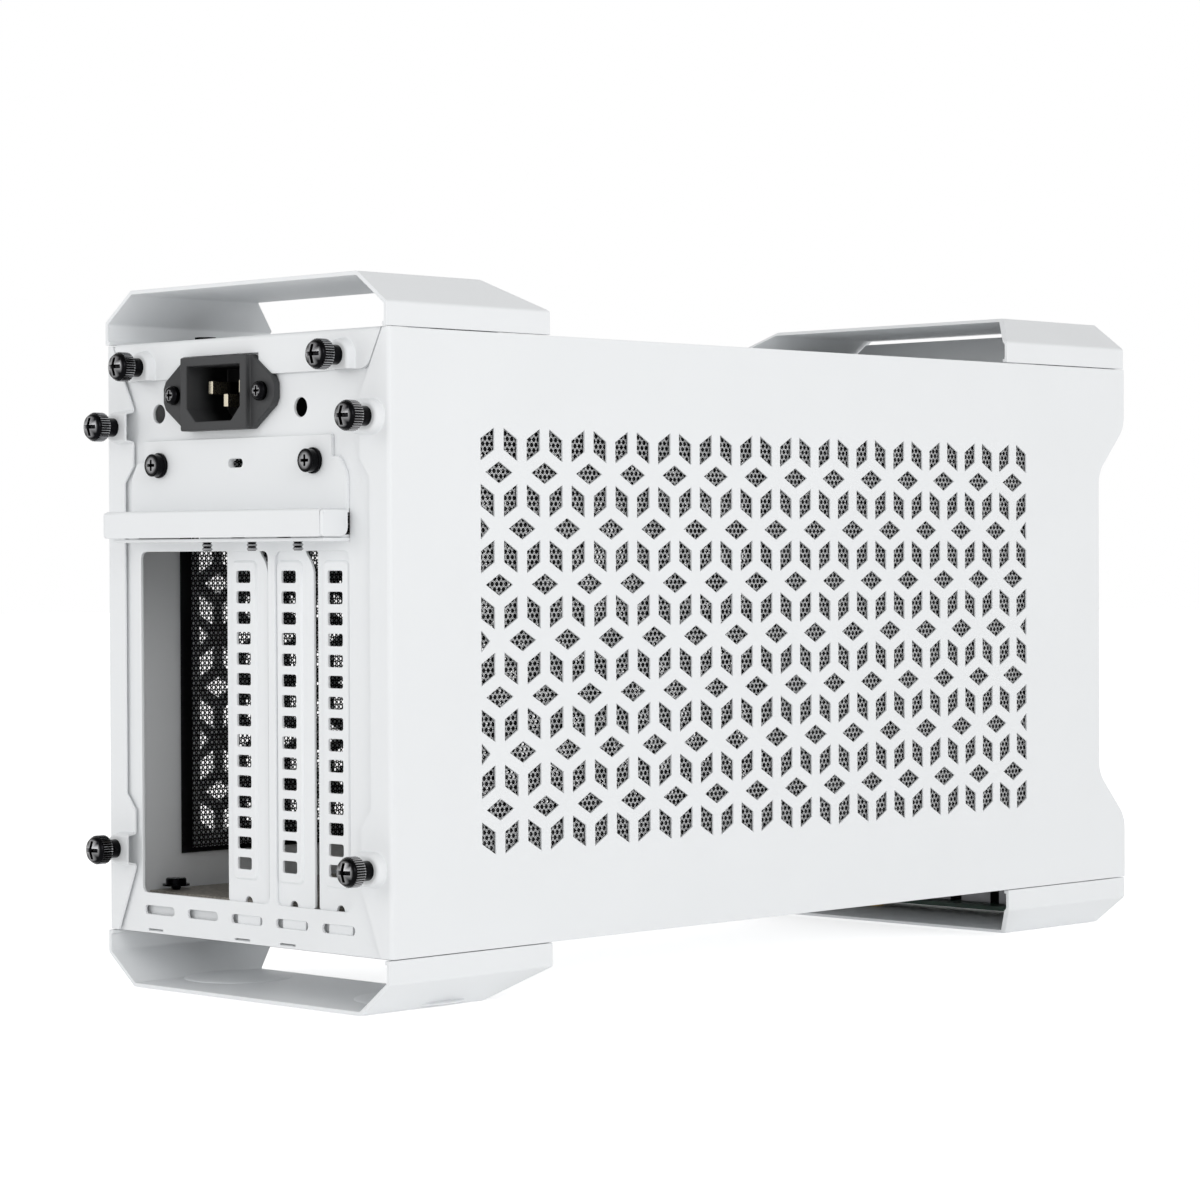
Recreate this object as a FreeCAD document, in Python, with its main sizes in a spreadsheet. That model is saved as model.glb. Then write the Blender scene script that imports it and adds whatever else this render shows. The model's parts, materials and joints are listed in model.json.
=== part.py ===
"""Small form factor computer case with two carry handles, two bridge feet and perforated sides.

The case stands on its feet with +Z up, its front towards -Y and its rear panel towards +Y. The
origin lies on the floor, under the middle of the whole object. Every length is in millimetres.
"""

import FreeCAD, Part
import math
import os

import Sketcher

Vector = FreeCAD.Vector
Turn = FreeCAD.Rotation

# Driving dimensions: alias, value, meaning
SIZES = [
    ("width", 128.0, "outer faces of the two side panels"),
    ("length", 348.5, "front edge to rear face of the body"),
    ("body_height", 178.6, "underside of the tray to the top cover"),
    ("gauge", 1.2, "sheet of panels, cover, handles and feet"),
    ("chassis_gauge", 1.0, "sheet of the inner frame"),
    ("fit", 0.3, "gap between a loose panel and the frame"),
    ("bend", 0.8, "bend of a folded sheet, to half its thickness"),
    ("handle_rise", 16.0, "handle plate above the top cover"),
    ("foot_rise", 16.5, "foot plate below the body"),
    ("handle_wall", 6.9, "upright part of a handle or foot side"),
    ("handle_slope", 12.3, "width of the sloping shoulder"),
    ("handle_inset", 0.3, "handle side behind the side panel face"),
    ("rear_overhang", 0.6, "rear handle and foot behind the rear face"),
    ("rear_side_length", 64.3, "rear handle along its sides"),
    ("rear_plate_length", 47.5, "rear handle along its plate"),
    ("front_side_length", 66.2, "front handle along its sides"),
    ("front_plate_length", 52.5, "front handle along its plate"),
    ("tab_width", 13.0, "screw tab at the foot of a handle side"),
    ("tab_length", 26.0, "screw tab along the case"),
    ("tab_setback", 20.0, "screw tab behind the square end of its handle"),
    ("waist_depth", 14.9, "waist in the front edge of a side panel"),
    ("waist_drop", 20.6, "upper start of the waist below the top face"),
    ("waist_bottom", 21.5, "lower start of the waist above the body"),
    ("waist_slope", 16.0, "height of a sloping end of the waist"),
    ("waist_round", 9.0, "corner radius of the waist"),
    ("flange_width", 8.5, "rear flange of a side panel"),
    ("flange_tab", 12.7, "rear flange at a thumbscrew"),
    ("flange_tab_outer", 5.8, "rear flange tab beyond its thumbscrew"),
    ("flange_tab_inner", 11.9, "rear flange tab short of its thumbscrew"),
    ("flange_slope", 5.0, "height of the step beside a flange tab"),
    ("flange_foot", 4.5, "rear flange at its lower end"),
    ("side_screw_end", 25.3, "side thumbscrew from the end of its flange"),
    ("side_screw_inset", 6.8, "side thumbscrew from the side face"),
    ("top_screw_inset", 19.0, "top thumbscrew from the side face"),
    ("top_screw_drop", 7.6, "top thumbscrew below the top face"),
    ("top_tab_drop", 11.6, "rear tab of the top cover"),
    ("top_tab_corner", 3.4, "rear tab from the side face, at the top"),
    ("top_tab_round", 4.0, "lower corner of the rear tab"),
    ("seam", 0.5, "gap between neighbouring rear flanges"),
    ("boss_width", 11.0, "embossed seat of a thumbscrew"),
    ("boss_rise", 3.0, "embossed seat above its flange"),
    ("thumb_reach", 12.5, "thumbscrew tip behind the rear face"),
    ("thumb_head", 8.4, "thumbscrew head diameter"),
    ("thumb_head_length", 5.2, "knurled length of the thumbscrew head"),
    ("thumb_neck", 5.5, "thumbscrew neck diameter"),
    ("thumb_thread", 3.5, "thumbscrew thread diameter"),
    ("thumb_thread_length", 9.0, "thumbscrew thread below its shoulder"),
    ("field_start", 35.6, "perforated field from the rear face"),
    ("field_front", 56.3, "perforated field from the front edge"),
    ("field_height", 123.2, "perforated field upright"),
    ("field_share", 0.59, "opening of a rhomb against its full cell"),
    ("field_pairs", 7, "pairs of rhombs along a row"),
    ("field_rows", 4, "rows of upright rhombs"),
    ("mesh_gauge", 0.6, "dust mesh behind a perforated side"),
    ("mesh_margin", 9.0, "dust mesh beyond the perforated field"),
    ("mesh_web", 3.0, "strip between the openings of the dust mesh"),
    ("mesh_columns", 4, "openings along the dust mesh"),
    ("mesh_rows", 2, "openings up the dust mesh"),
    ("frame_setback", 3.6, "front wall of the frame behind the waist"),
    ("frame_border", 20.0, "border of the air opening in the front wall"),
    ("tray_lip", 10.2, "rear lip of the tray, seen behind the tongue slots"),
    ("rail_drop", 14.0, "upright leg of a top rail"),
    ("rail_width", 9.0, "flat leg of a top rail"),
    ("return_depth", 10.0, "folded edge of the inner frame"),
    ("slot_pitch", 20.32, "expansion slots"),
    ("slot_first", 105.5, "first expansion slot from the left side face"),
    ("slot_low", 12.3, "slot openings above the body"),
    ("slot_drop", 63.1, "top of the slot openings below the top face"),
    ("slot_round", 2.0, "corner of a slot opening"),
    ("slot_left", 113.6, "slot opening, far end from the left side face"),
    ("slot_right", 18.8, "slot opening, near end from the left side face"),
    ("rib_middle", 53.0, "rib between the slot openings, from the left side face"),
    ("rib_width", 3.0, "rib between the slot openings"),
    ("cover_width", 18.42, "slot cover blade"),
    ("cover_gauge", 0.9, "slot cover sheet"),
    ("cover_tongue", 10.2, "slot cover tongue"),
    ("cover_end", 3.2, "end of the tongue above the body"),
    ("cover_taper", 3.0, "height over which the blade narrows to its tongue"),
    ("cover_notch", 4.0, "notch beside the folded foot of a slot cover"),
    ("cover_hole", 3.4, "locating hole of a slot cover"),
    ("cover_setback", 0.4, "folded foot of a slot cover short of the shelf edge"),
    ("cover_band", 11.2, "raised band of a slot cover"),
    ("band_rise", 0.7, "raised band above its blade"),
    ("band_low", 18.8, "raised band above the body"),
    ("band_drop", 65.8, "top of the raised band below the top face"),
    ("band_shift", 1.1, "raised band beside the slot centre"),
    ("vent_width", 6.4, "vent hole of a slot cover"),
    ("vent_height", 3.6, "vent hole of a slot cover"),
    ("vent_drop", 70.62, "highest vent hole below the top face"),
    ("vent_low", 23.7, "lowest vent hole above the body"),
    ("vent_count", 15, "vent holes of a slot cover"),
    ("tongue_slot_width", 14.2, "slot for a cover tongue"),
    ("tongue_slot_height", 2.7, "slot for a cover tongue"),
    ("tongue_slot_level", 7.1, "slots for the tongues above the body"),
    ("edge_slot_width", 7.0, "low slot at the lower edge of the rear panel"),
    ("edge_slot_height", 0.6, "low slot at the lower edge of the rear panel"),
    ("edge_slot_level", 1.1, "low slots above the body"),
    ("edge_slot_shift", 2.0, "low slot beside the slot centre"),
    ("shelf_drop", 59.4, "screw shelf below the top face"),
    ("shelf_reach", 8.2, "screw shelf behind the rear face"),
    ("hood_middle", 67.5, "retainer hood from the left side face"),
    ("hood_width", 100.0, "retainer hood along its lip"),
    ("hood_neck", 85.2, "retainer hood at its top edge"),
    ("hood_drop", 29.8, "top of the retainer hood below the top face"),
    ("hood_fold_drop", 51.1, "fold of the retainer hood below the top face"),
    ("hood_reach", 10.0, "lip of the retainer hood behind the rear face"),
    ("hood_lip", 8.0, "lip of the retainer hood"),
    ("hood_step", 5.0, "height of the sloping shoulder of the hood plate"),
    ("hood_shoulder", 3.4, "ledge beside the neck of the hood plate"),
    ("hood_edge", 1.0, "hood plate short of the canopy end"),
    ("hood_slot_width", 6.6, "slot between the hood screws"),
    ("hood_slot_height", 2.6, "slot between the hood screws"),
    ("hood_window_end", 3.0, "opening behind the hood short of its far end"),
    ("hood_screw_spacing", 70.1, "screws of the retainer hood"),
    ("hood_screw_drop", 37.2, "screws of the retainer hood below the top face"),
    ("inlet_middle", 73.8, "power inlet from the left side face"),
    ("inlet_drop", 16.5, "power inlet below the top face"),
    ("inlet_spacing", 40.0, "screws of the power inlet"),
    ("inlet_flange_end", 5.4, "end radius of the inlet flange"),
    ("inlet_width", 30.2, "rim of the power inlet"),
    ("inlet_height", 21.8, "rim of the power inlet"),
    ("inlet_flange", 2.6, "flange of the power inlet"),
    ("inlet_rim", 1.9, "rim of the power inlet above its flange"),
    ("inlet_depth", 17.0, "inlet body behind the rear panel"),
    ("inlet_step", 1.4, "inlet body inside its rim"),
    ("blade_width", 2.0, "blade of the power inlet"),
    ("blade_height", 4.0, "blade of the power inlet"),
    ("blade_length", 11.0, "blade of the power inlet"),
    ("blade_spacing", 14.0, "outer blades of the power inlet"),
    ("blade_stagger", 4.0, "middle blade below the outer ones"),
    ("socket_width", 24.4, "socket of the power inlet"),
    ("socket_height", 16.4, "socket of the power inlet"),
    ("socket_depth", 16.0, "socket of the power inlet"),
    ("pass_hole", 5.8, "round holes beside the inlet"),
    ("pass_spacing", 64.9, "round holes beside the inlet"),
    ("pass_middle", 72.0, "round holes from the left side face"),
    ("pass_drop", 21.6, "round holes below the top face"),
    ("base_level", 11.5, "top of the base plate above the body"),
    ("base_gauge", 1.5, "base plate sheet"),
    ("base_gap", 2.0, "base plate from the tray's sides"),
    ("base_setback", 12.0, "base plate inside the rear face"),
    ("base_front", 14.0, "base plate behind the waist"),
    ("base_screw_inset", 4.6, "base plate screws from its long edge"),
    ("base_screw_front", 16.0, "base plate screws from its front edge"),
    ("base_screw_rear", 6.7, "base plate screws from its rear edge"),
    ("front_gauge", 2.0, "front panel wall"),
    ("front_setback", 1.6, "front panel behind the side panel edge"),
    ("crown_gap", 2.6, "front panel short of the handle plate"),
    ("foot_gap", 1.0, "front panel short of the foot plate"),
    ("screw_thread", 3.0, "machine screws"),
    ("screw_play", 0.2, "screw hole over its screw"),
    ("screw_head", 6.4, "machine screw heads"),
    ("slot_screw_shift", 9.0, "slot cover screw beside the slot centre"),
    ("slot_screw_reach", 5.2, "slot cover screw behind the rear face"),
    ("screw_head_height", 2.2, "machine screw heads"),
    ("screw_past", 3.0, "screw end past the last sheet it holds"),
    ("washer_extra", 2.0, "head of a base plate screw beyond a plain one"),
    ("hex_extra", 0.8, "head of a hood screw beyond a plain one"),
    ("hex_rise", 1.4, "taller head of a base plate or hood screw"),
    ("board_gauge", 1.6, "front connector board"),
    ("board_width", 80.0, "front connector board"),
    ("board_depth", 18.0, "front connector board"),
    ("board_lift", 2.4, "front connector board above the foot plate"),
    ("board_gap", 0.6, "front connector board behind the front panel"),
    ("post_inset", 4.0, "post of the connector board from its end"),
    ("post_width", 5.2, "post of the connector board"),
    ("port_length", 13.0, "front port"),
    ("port_wall", 0.5, "shell of a front port"),
    ("port_floor", 2.0, "rear wall of a front port"),
    ("port_tongue", 1.7, "tongue of a wide port"),
    ("jack_bore", 3.6, "bore of the audio jack"),
    ("switch_width", 8.0, "switch behind the power button"),
    ("switch_height", 7.0, "switch behind the power button"),
    ("switch_depth", 5.0, "switch behind the power button"),
    ("button_proud", 0.4, "power button before the front panel"),
    ("button_flange", 1.0, "collar of the power button"),
    ("button_stem", 3.2, "stem of the power button"),
    ("button_diameter", 9.0, "power button cap"),
    ("button_travel", 1.2, "power button stroke"),
    ("button_collar", 0.9, "power button collar beyond its cap"),
    ("button_shift", 28.0, "power button from the middle"),
    ("port_gap", 0.3, "gap round a front port"),
    ("hole_flats", 6, "flats that stand for a small circle"),
    ("head_flats", 8, "flats of a small screw head"),
    ("knurl_flats", 12, "flats of a knurled head or a larger circle"),
]

doc = FreeCAD.newDocument("computer_case")
sheet = doc.addObject("Spreadsheet::Sheet", "Sizes")
for row, (alias, number, meaning) in enumerate(SIZES, start=1):
    sheet.set(f"A{row}", meaning)
    sheet.set(f"B{row}", str(number))
    sheet.setAlias(f"B{row}", alias)
doc.recompute()


class Size:
    """A length that is both an expression on the sheet and its present value."""

    def __init__(self, text, number):
        self.text = text
        self.number = float(number)

    @staticmethod
    def of(item):
        """Wrap a plain number so that it can be mixed with sizes."""
        return item if isinstance(item, Size) else Size(repr(float(item)), item)

    def __add__(self, other):
        other = Size.of(other)
        return Size(f"({self.text} + {other.text})", self.number + other.number)

    def __sub__(self, other):
        other = Size.of(other)
        return Size(f"({self.text} - {other.text})", self.number - other.number)

    def __mul__(self, other):
        other = Size.of(other)
        return Size(f"({self.text} * {other.text})", self.number * other.number)

    def __truediv__(self, other):
        other = Size.of(other)
        return Size(f"({self.text} / {other.text})", self.number / other.number)

    def __radd__(self, other):
        return Size.of(other) + self

    def __rsub__(self, other):
        return Size.of(other) - self

    def __rmul__(self, other):
        return Size.of(other) * self

    def __neg__(self):
        return Size(f"(0 - {self.text})", -self.number)


class Sheet:
    """Gives each cell of the sheet as a Size under its alias."""

    def __getattr__(self, alias):
        return Size(f"Sizes.{alias}", sheet.get(alias))


D = Sheet()

# Levels and planes that several pieces share
half = D.width / 2
lower_screw = D.side_screw_end
upper_screw = D.body_height - D.side_screw_end
body_floor = D.foot_rise
body_top = D.foot_rise + D.body_height
rear = (D.length - D.thumb_reach) / 2
front = rear - D.length
side_clear = half - D.gauge - D.fit
panel_face = rear - D.gauge - D.fit
panel_back = panel_face - D.chassis_gauge
cover_under = body_top - D.gauge
frame_top = cover_under - D.fit
waist_face = front + D.waist_depth
waist_top = D.body_height - D.waist_drop
slot_high = D.body_height - D.slot_drop
band_high = D.body_height - D.band_drop
vent_high = D.body_height - D.vent_drop
shelf_level = D.body_height - D.shelf_drop
hood_top = D.body_height - D.hood_drop
hood_fold = D.body_height - D.hood_fold_drop
hood_screw_level = D.body_height - D.hood_screw_drop
inlet_level = D.body_height - D.inlet_drop
pass_level = D.body_height - D.pass_drop
field_length = D.length - D.field_start - D.field_front
SCREW_HOLE = D.screw_thread + D.screw_play
THUMB_HOLE = D.thumb_thread + D.fit * 2
COVERED_SLOTS = (3, 4, 5)
OVER = 1.0


def across(from_left):
    """X of a place measured from the outer face of the left side panel."""
    return from_left - half


def above(level):
    """Z of a place measured from the underside of the body."""
    return body_floor + level


# Sketches and features

PLANES = {"XY": "XY_Plane", "XZ": "XZ_Plane", "YZ": "YZ_Plane"}


def new_body(label):
    """Start a sub-part."""
    body = doc.addObject("PartDesign::Body", label)
    body.Label = label
    return body


def new_sketch(body, plane, level):
    """Put a sketch on one of the body's own planes, at a level along that plane's world axis."""
    sketch = body.newObject("Sketcher::SketchObject", "Outline")
    wanted = PLANES[plane]
    support = [item for item in body.Origin.OriginFeatures if item.Role == wanted][0]
    sketch.AttachmentSupport = [(support, "")]
    sketch.MapMode = "FlatFace"
    offset = -Size.of(level) if plane == "XZ" else Size.of(level)
    sketch.setExpression("AttachmentOffset.Base.z", offset.text)
    return sketch


def fix_point(sketch, line, end, place):
    """Hold one end of a line at a place given by two sizes."""
    for kind, size in zip(("DistanceX", "DistanceY"), place):
        rule = sketch.addConstraint(Sketcher.Constraint(kind, -1, 1, line, end, size.number))
        sketch.setExpression(f"Constraints[{rule}]", size.text)


def add_lines(sketch, corners):
    """Chain of lines through numeric corners."""
    ends = [Vector(x, y, 0) for x, y in corners]
    lines = [sketch.addGeometry(Part.LineSegment(a, b)) for a, b in zip(ends, ends[1:])]
    for line, following in zip(lines, lines[1:]):
        sketch.addConstraint(Sketcher.Constraint("Coincident", line, 2, following, 1))
    return lines


def draw_polygon(sketch, places):
    """Closed outline whose every corner is held by two sizes."""
    places = [(Size.of(x), Size.of(y)) for x, y in places]
    corners = [(x.number, y.number) for x, y in places]
    lines = add_lines(sketch, corners + corners[:1])
    sketch.addConstraint(Sketcher.Constraint("Coincident", lines[-1], 2, lines[0], 1))
    for line, place in zip(lines, places):
        fix_point(sketch, line, 1, place)


def draw_rectangle(sketch, left, low, right, high):
    """Closed rectangle between two corners."""
    draw_polygon(sketch, [(left, low), (right, low), (right, high), (left, high)])


def draw_circle(sketch, place, diameter):
    """Circle of a given diameter."""
    x, y = Size.of(place[0]), Size.of(place[1])
    diameter = Size.of(diameter)
    ring = Part.Circle(Vector(x.number, y.number, 0), Vector(0, 0, 1), diameter.number / 2)
    circle = sketch.addGeometry(ring)
    fix_point(sketch, circle, 3, (x, y))
    rule = sketch.addConstraint(Sketcher.Constraint("Diameter", circle, diameter.number))
    sketch.setExpression(f"Constraints[{rule}]", diameter.text)


def draw_ring(sketch, place, diameter, flats=D.hole_flats):
    """Regular polygon that stands for a small circle, measured across its flats."""
    x, y = Size.of(place[0]), Size.of(place[1])
    count = round(flats.number)
    reach = Size.of(diameter) / (2 * math.cos(math.pi / count))
    turns = [2 * math.pi * (step + 0.5) / count for step in range(count)]
    draw_polygon(sketch, [(x + reach * math.cos(a), y + reach * math.sin(a)) for a in turns])


def draw_many(sketch, shapes):
    """Several separate outlines in one sketch, each a drawing function with its arguments."""
    for draw, *shape in shapes:
        draw(sketch, *shape)


def mitred(corners, thickness):
    """Corners moved to the right of the path by the sheet's thickness, mitred at each bend."""
    walls = []
    for (x0, y0), (x1, y1) in zip(corners, corners[1:]):
        span = math.hypot(x1 - x0, y1 - y0)
        walls.append(((y1 - y0) / span, -(x1 - x0) / span))
    moved = []
    for index, (x, y) in enumerate(corners):
        before = walls[max(index - 1, 0)]
        after = walls[min(index, len(walls) - 1)]
        scale = thickness / (1 + before[0] * after[0] + before[1] * after[1])
        moved.append((x + (before[0] + after[0]) * scale, y + (before[1] + after[1]) * scale))
    return moved


def draw_strip(sketch, places, thickness):
    """Section of a folded sheet: outer corners held by sizes, inner lines parallel to them."""
    places = [(Size.of(x), Size.of(y)) for x, y in places]
    corners = [(x.number, y.number) for x, y in places]
    inside = mitred(corners, thickness.number)
    outer = add_lines(sketch, corners)
    inner = add_lines(sketch, inside)
    first, last = [
        sketch.addGeometry(Part.LineSegment(Vector(*corners[end], 0), Vector(*inside[end], 0)))
        for end in (0, -1)
    ]
    for cap, side, chain in ((first, 1, 0), (last, 2, -1)):
        sketch.addConstraint(Sketcher.Constraint("Coincident", cap, 1, outer[chain], side))
        sketch.addConstraint(Sketcher.Constraint("Coincident", cap, 2, inner[chain], side))
        sketch.addConstraint(Sketcher.Constraint("Perpendicular", cap, outer[chain]))
    for line, place in zip(outer, places):
        fix_point(sketch, line, 1, place)
    fix_point(sketch, outer[-1], 2, places[-1])
    for line, face in zip(inner, outer):
        sketch.addConstraint(Sketcher.Constraint("Parallel", line, face))
        rule = sketch.addConstraint(Sketcher.Constraint("Distance", line, 1, face, thickness.number))
        sketch.setExpression(f"Constraints[{rule}]", thickness.text)


def extrude(body, kind, plane, low, high, draw, *shape):
    """Add or remove material between two levels along the plane's world axis."""
    low, high = Size.of(low), Size.of(high)
    starts_low = (kind == "Pad") != (plane == "XZ")
    sketch = new_sketch(body, plane, low if starts_low else high)
    draw(sketch, *shape)
    feature = body.newObject(f"PartDesign::{kind}", kind)
    feature.Profile = sketch
    feature.setExpression("Length", (high - low).text)
    return feature


def pad(body, plane, low, high, draw, *shape):
    """Material between two levels."""
    return extrude(body, "Pad", plane, low, high, draw, *shape)


def pocket(body, plane, low, high, draw, *shape):
    """Opening between two levels, which has to take material away."""
    doc.recompute()
    before = body.Shape.Volume
    feature = extrude(body, "Pocket", plane, low, high, draw, *shape)
    doc.recompute()
    if body.Shape.Volume >= before:
        raise RuntimeError(f"an opening of {body.Label} cuts nothing")
    return feature


AXES = {"X": (1, 2), "Y": (0, 2), "Z": (0, 1)}


def edges_near(body, axis, places, nearest, farthest):
    """Names of the edges along an axis that pass between two distances from given places."""
    doc.recompute()
    first, second = AXES[axis]
    names = []
    for index, edge in enumerate(body.Tip.Shape.Edges, start=1):
        ends = [vertex.Point for vertex in edge.Vertexes]
        if len(ends) != 2 or max(abs(ends[0][k] - ends[1][k]) for k in (first, second)) > 1e-4:
            continue
        for u, v in places:
            gap = math.hypot(ends[0][first] - Size.of(u).number, ends[0][second] - Size.of(v).number)
            if nearest <= gap <= farthest:
                names.append(f"Edge{index}")
                break
    return names


def round_edges(body, names, radius):
    """Fillet the named edges of the body's last feature."""
    base = body.Tip
    feature = body.newObject("PartDesign::Fillet", "Fillet")
    feature.Base = (base, names)
    feature.setExpression("Radius", Size.of(radius).text)
    doc.recompute()
    return feature


def round_corners(body, axis, places, radius):
    """Fillet the edges along an axis at given corners."""
    return round_edges(body, edges_near(body, axis, places, 0, 1e-3), radius)


def folded(label, plane, low, high, path, thickness, rounded=True):
    """Sheet folded along a path, with all its outer bends rounded, those given, or none."""
    body = new_body(label)
    pad(body, plane, low, high, draw_strip, path, thickness)
    if rounded:
        axis = {"XY": "Z", "XZ": "Y", "YZ": "X"}[plane]
        round_corners(body, axis, path[1:-1] if rounded is True else rounded, D.bend + thickness / 2)
    return body


def stacked(label, rings, place, direction=(0, 0, 1)):
    """Stepped piece: each ring is a low level, a high level, a diameter and its flats, if any."""
    body = new_body(label)
    for low, high, diameter, *flats in rings:
        pad(body, "XY", low, high, draw_ring if flats else draw_circle, (0, 0), diameter, *flats)
    body.Placement.Rotation = Turn(Vector(0, 0, 1), Vector(*direction))
    move_to(body, place)
    return body


def bevel_top(body, level, size):
    """Chamfer the edges of a stepped piece that lie at a level of its own axis."""
    doc.recompute()
    base = body.Tip
    names = []
    for index, edge in enumerate(base.Shape.Edges, start=1):
        if all(abs(vertex.Point.z - level.number) < 1e-4 for vertex in edge.Vertexes):
            names.append(f"Edge{index}")
    feature = body.newObject("PartDesign::Chamfer", "Chamfer")
    feature.Base = (base, names)
    feature.setExpression("Size", Size.of(size).text)


def move_to(item, place):
    """Bind the position of an object to three sizes."""
    for axis, size in zip("xyz", place):
        item.setExpression(f"Placement.Base.{axis}", Size.of(size).text)


def group(label, pattern, places):
    """One node that holds a copy of a pattern at each place."""
    links = []
    for place in places:
        link = doc.addObject("App::Link", f"{label}_copy")
        link.LinkedObject = pattern
        link.Placement = pattern.Placement
        move_to(link, place)
        links.append(link)
    compound = doc.addObject("Part::Compound", label)
    compound.Label = label
    compound.Links = links
    return compound


def machine_screw(label, length, direction, head=None, head_height=None):
    """Screw whose shoulder lies at its origin and whose head points along direction."""
    head = D.screw_head if head is None else head
    tall = D.screw_head_height if head_height is None else head_height
    rings = [(-length, 0, D.screw_thread, D.hole_flats), (0, tall, head, D.head_flats)]
    return stacked(label, rings, (0, 0, 0), direction)


PARTS = []


def keep(item):
    """List a finished sub-part for writing."""
    PARTS.append(item)
    return item


# Inner frame


def thumb_places():
    """X and Z of every thumbscrew, by name."""
    places = {}
    for side, sign in (("left", -1), ("right", 1)):
        x = sign * (half - D.side_screw_inset)
        places[f"{side}_lower"] = (x, above(lower_screw))
        places[f"{side}_upper"] = (x, above(upper_screw))
        places[f"top_{side}"] = (sign * (half - D.top_screw_inset), body_top - D.top_screw_drop)
    return places


def slot_middle(number):
    """X of the centre line of an expansion slot, counted from 1."""
    return across(D.slot_first - D.slot_pitch * (number - 1))


def rear_holes():
    """Small holes of the rear panel for the inlet, the hood and the thumbscrews."""
    x, z = across(D.inlet_middle), above(inlet_level)
    middle, hood = across(D.pass_middle), across(D.hood_middle)
    holes = []
    for side in (-1, 1):
        holes.append((draw_ring, (x + side * D.inlet_spacing / 2, z), SCREW_HOLE))
        place = (middle + side * D.pass_spacing / 2, above(pass_level))
        holes.append((draw_ring, place, D.pass_hole, D.knurl_flats))
        place = (hood + side * D.hood_screw_spacing / 2, above(hood_screw_level))
        holes.append((draw_ring, place, SCREW_HOLE))
    holes += [(draw_ring, place, THUMB_HOLE) for place in thumb_places().values()]
    return holes


def box_at(x, z, width, height):
    """A rectangle about its centre, ready for draw_many."""
    return (draw_rectangle, x - width / 2, z - height / 2, x + width / 2, z + height / 2)


def build_rear_panel():
    """Rear wall of the frame, with slot openings, screw shelf, inlet and thumbscrew holes."""
    path = [
        (-side_clear, panel_face - D.return_depth), (-side_clear, panel_face),
        (side_clear, panel_face), (side_clear, panel_face - D.return_depth),
    ]
    body = folded("rear_panel", "XY", body_floor, frame_top, path, D.chassis_gauge, False)
    back, face = panel_back - OVER, panel_face + OVER
    low, high = above(D.slot_low), above(slot_high)
    rib = across(D.rib_middle)
    left, right = across(D.slot_right), across(D.slot_left)
    pocket(body, "XZ", back, face, draw_rectangle, left, low, rib - D.rib_width / 2, high)
    left = rib + D.rib_width / 2
    pocket(body, "XZ", back, face, draw_rectangle, left, low, right, high)
    round_corners(body, "Y", [(left, low), (right, low), (right, high), (left, high)], D.slot_round)

    shelf = above(shelf_level)
    near = across(D.hood_middle - D.hood_width / 2 + D.hood_edge)
    far = across(D.hood_middle + D.hood_width / 2 - D.hood_window_end)
    pocket(body, "XZ", back, face, draw_rectangle, near, shelf, far, above(hood_fold))
    under = shelf - D.chassis_gauge
    pad(body, "XZ", panel_back, rear + D.shelf_reach, draw_rectangle, near, under, far, shelf)

    width, height = D.inlet_width - 2 * D.gauge, D.inlet_height - D.gauge * 1.5
    inlet = box_at(across(D.inlet_middle), above(inlet_level), width, height)
    pocket(body, "XZ", back, face, draw_many, [inlet])
    pocket(body, "XZ", back, face, draw_many, rear_holes())

    level, edge = above(D.tongue_slot_level), above(D.edge_slot_level)
    width, height = D.tongue_slot_width, D.tongue_slot_height
    slots = [box_at(slot_middle(number), level, width, height) for number in range(1, 6)]
    for number in (1, 3, 4):
        x = slot_middle(number) + D.edge_slot_shift
        slots.append(box_at(x, edge, D.edge_slot_width, D.edge_slot_height))
    hood = across(D.hood_middle), above(hood_screw_level)
    slots.append(box_at(*hood, D.hood_slot_width, D.hood_slot_height))
    pocket(body, "XZ", back, face, draw_many, slots)
    taps = [(draw_ring, (slot_screw_x(number), slot_screw_y()), SCREW_HOLE) for number in COVERED_SLOTS]
    pocket(body, "XY", shelf - D.chassis_gauge - OVER, shelf + OVER, draw_many, taps)
    return keep(body)


def slot_screw_x(number):
    """X of the screw that holds a slot cover."""
    return slot_middle(number) + D.slot_screw_shift


def slot_screw_y():
    """Y of the screws that hold the slot covers."""
    return rear + D.slot_screw_reach


def build_tray():
    """Floor of the frame with its sides folded up, and screw holes for the feet."""
    inner = side_clear - D.chassis_gauge
    lip = above(D.return_depth)
    path = [(inner, lip), (inner, body_floor), (-inner, body_floor), (-inner, lip)]
    low = waist_face + D.frame_setback + D.chassis_gauge
    body = folded("bottom_tray", "XZ", low, panel_back, path, D.chassis_gauge, False)
    wall = panel_back - D.cover_gauge - D.fit
    back = wall - D.chassis_gauge
    pad(body, "XZ", back, wall, draw_rectangle, -inner, body_floor, inner, above(D.tray_lip))
    holes = [(draw_ring, place, SCREW_HOLE) for place in tab_screws()]
    pocket(body, "XY", body_floor - OVER, body_floor + D.chassis_gauge + OVER, draw_many, holes)
    return keep(body)


def build_front_frame():
    """Front wall of the frame with a large air opening."""
    face = waist_face + D.frame_setback
    path = [
        (side_clear, face + D.return_depth), (side_clear, face),
        (-side_clear, face), (-side_clear, face + D.return_depth),
    ]
    body = folded("front_frame", "XY", body_floor, frame_top, path, D.chassis_gauge, False)
    left, right = D.frame_border - half, half - D.frame_border
    low, high = above(D.waist_bottom + D.waist_slope), above(waist_top - D.waist_slope)
    pocket(body, "XZ", face - OVER, face + D.chassis_gauge + OVER, draw_rectangle, left, low, right, high)
    return keep(body)


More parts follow.
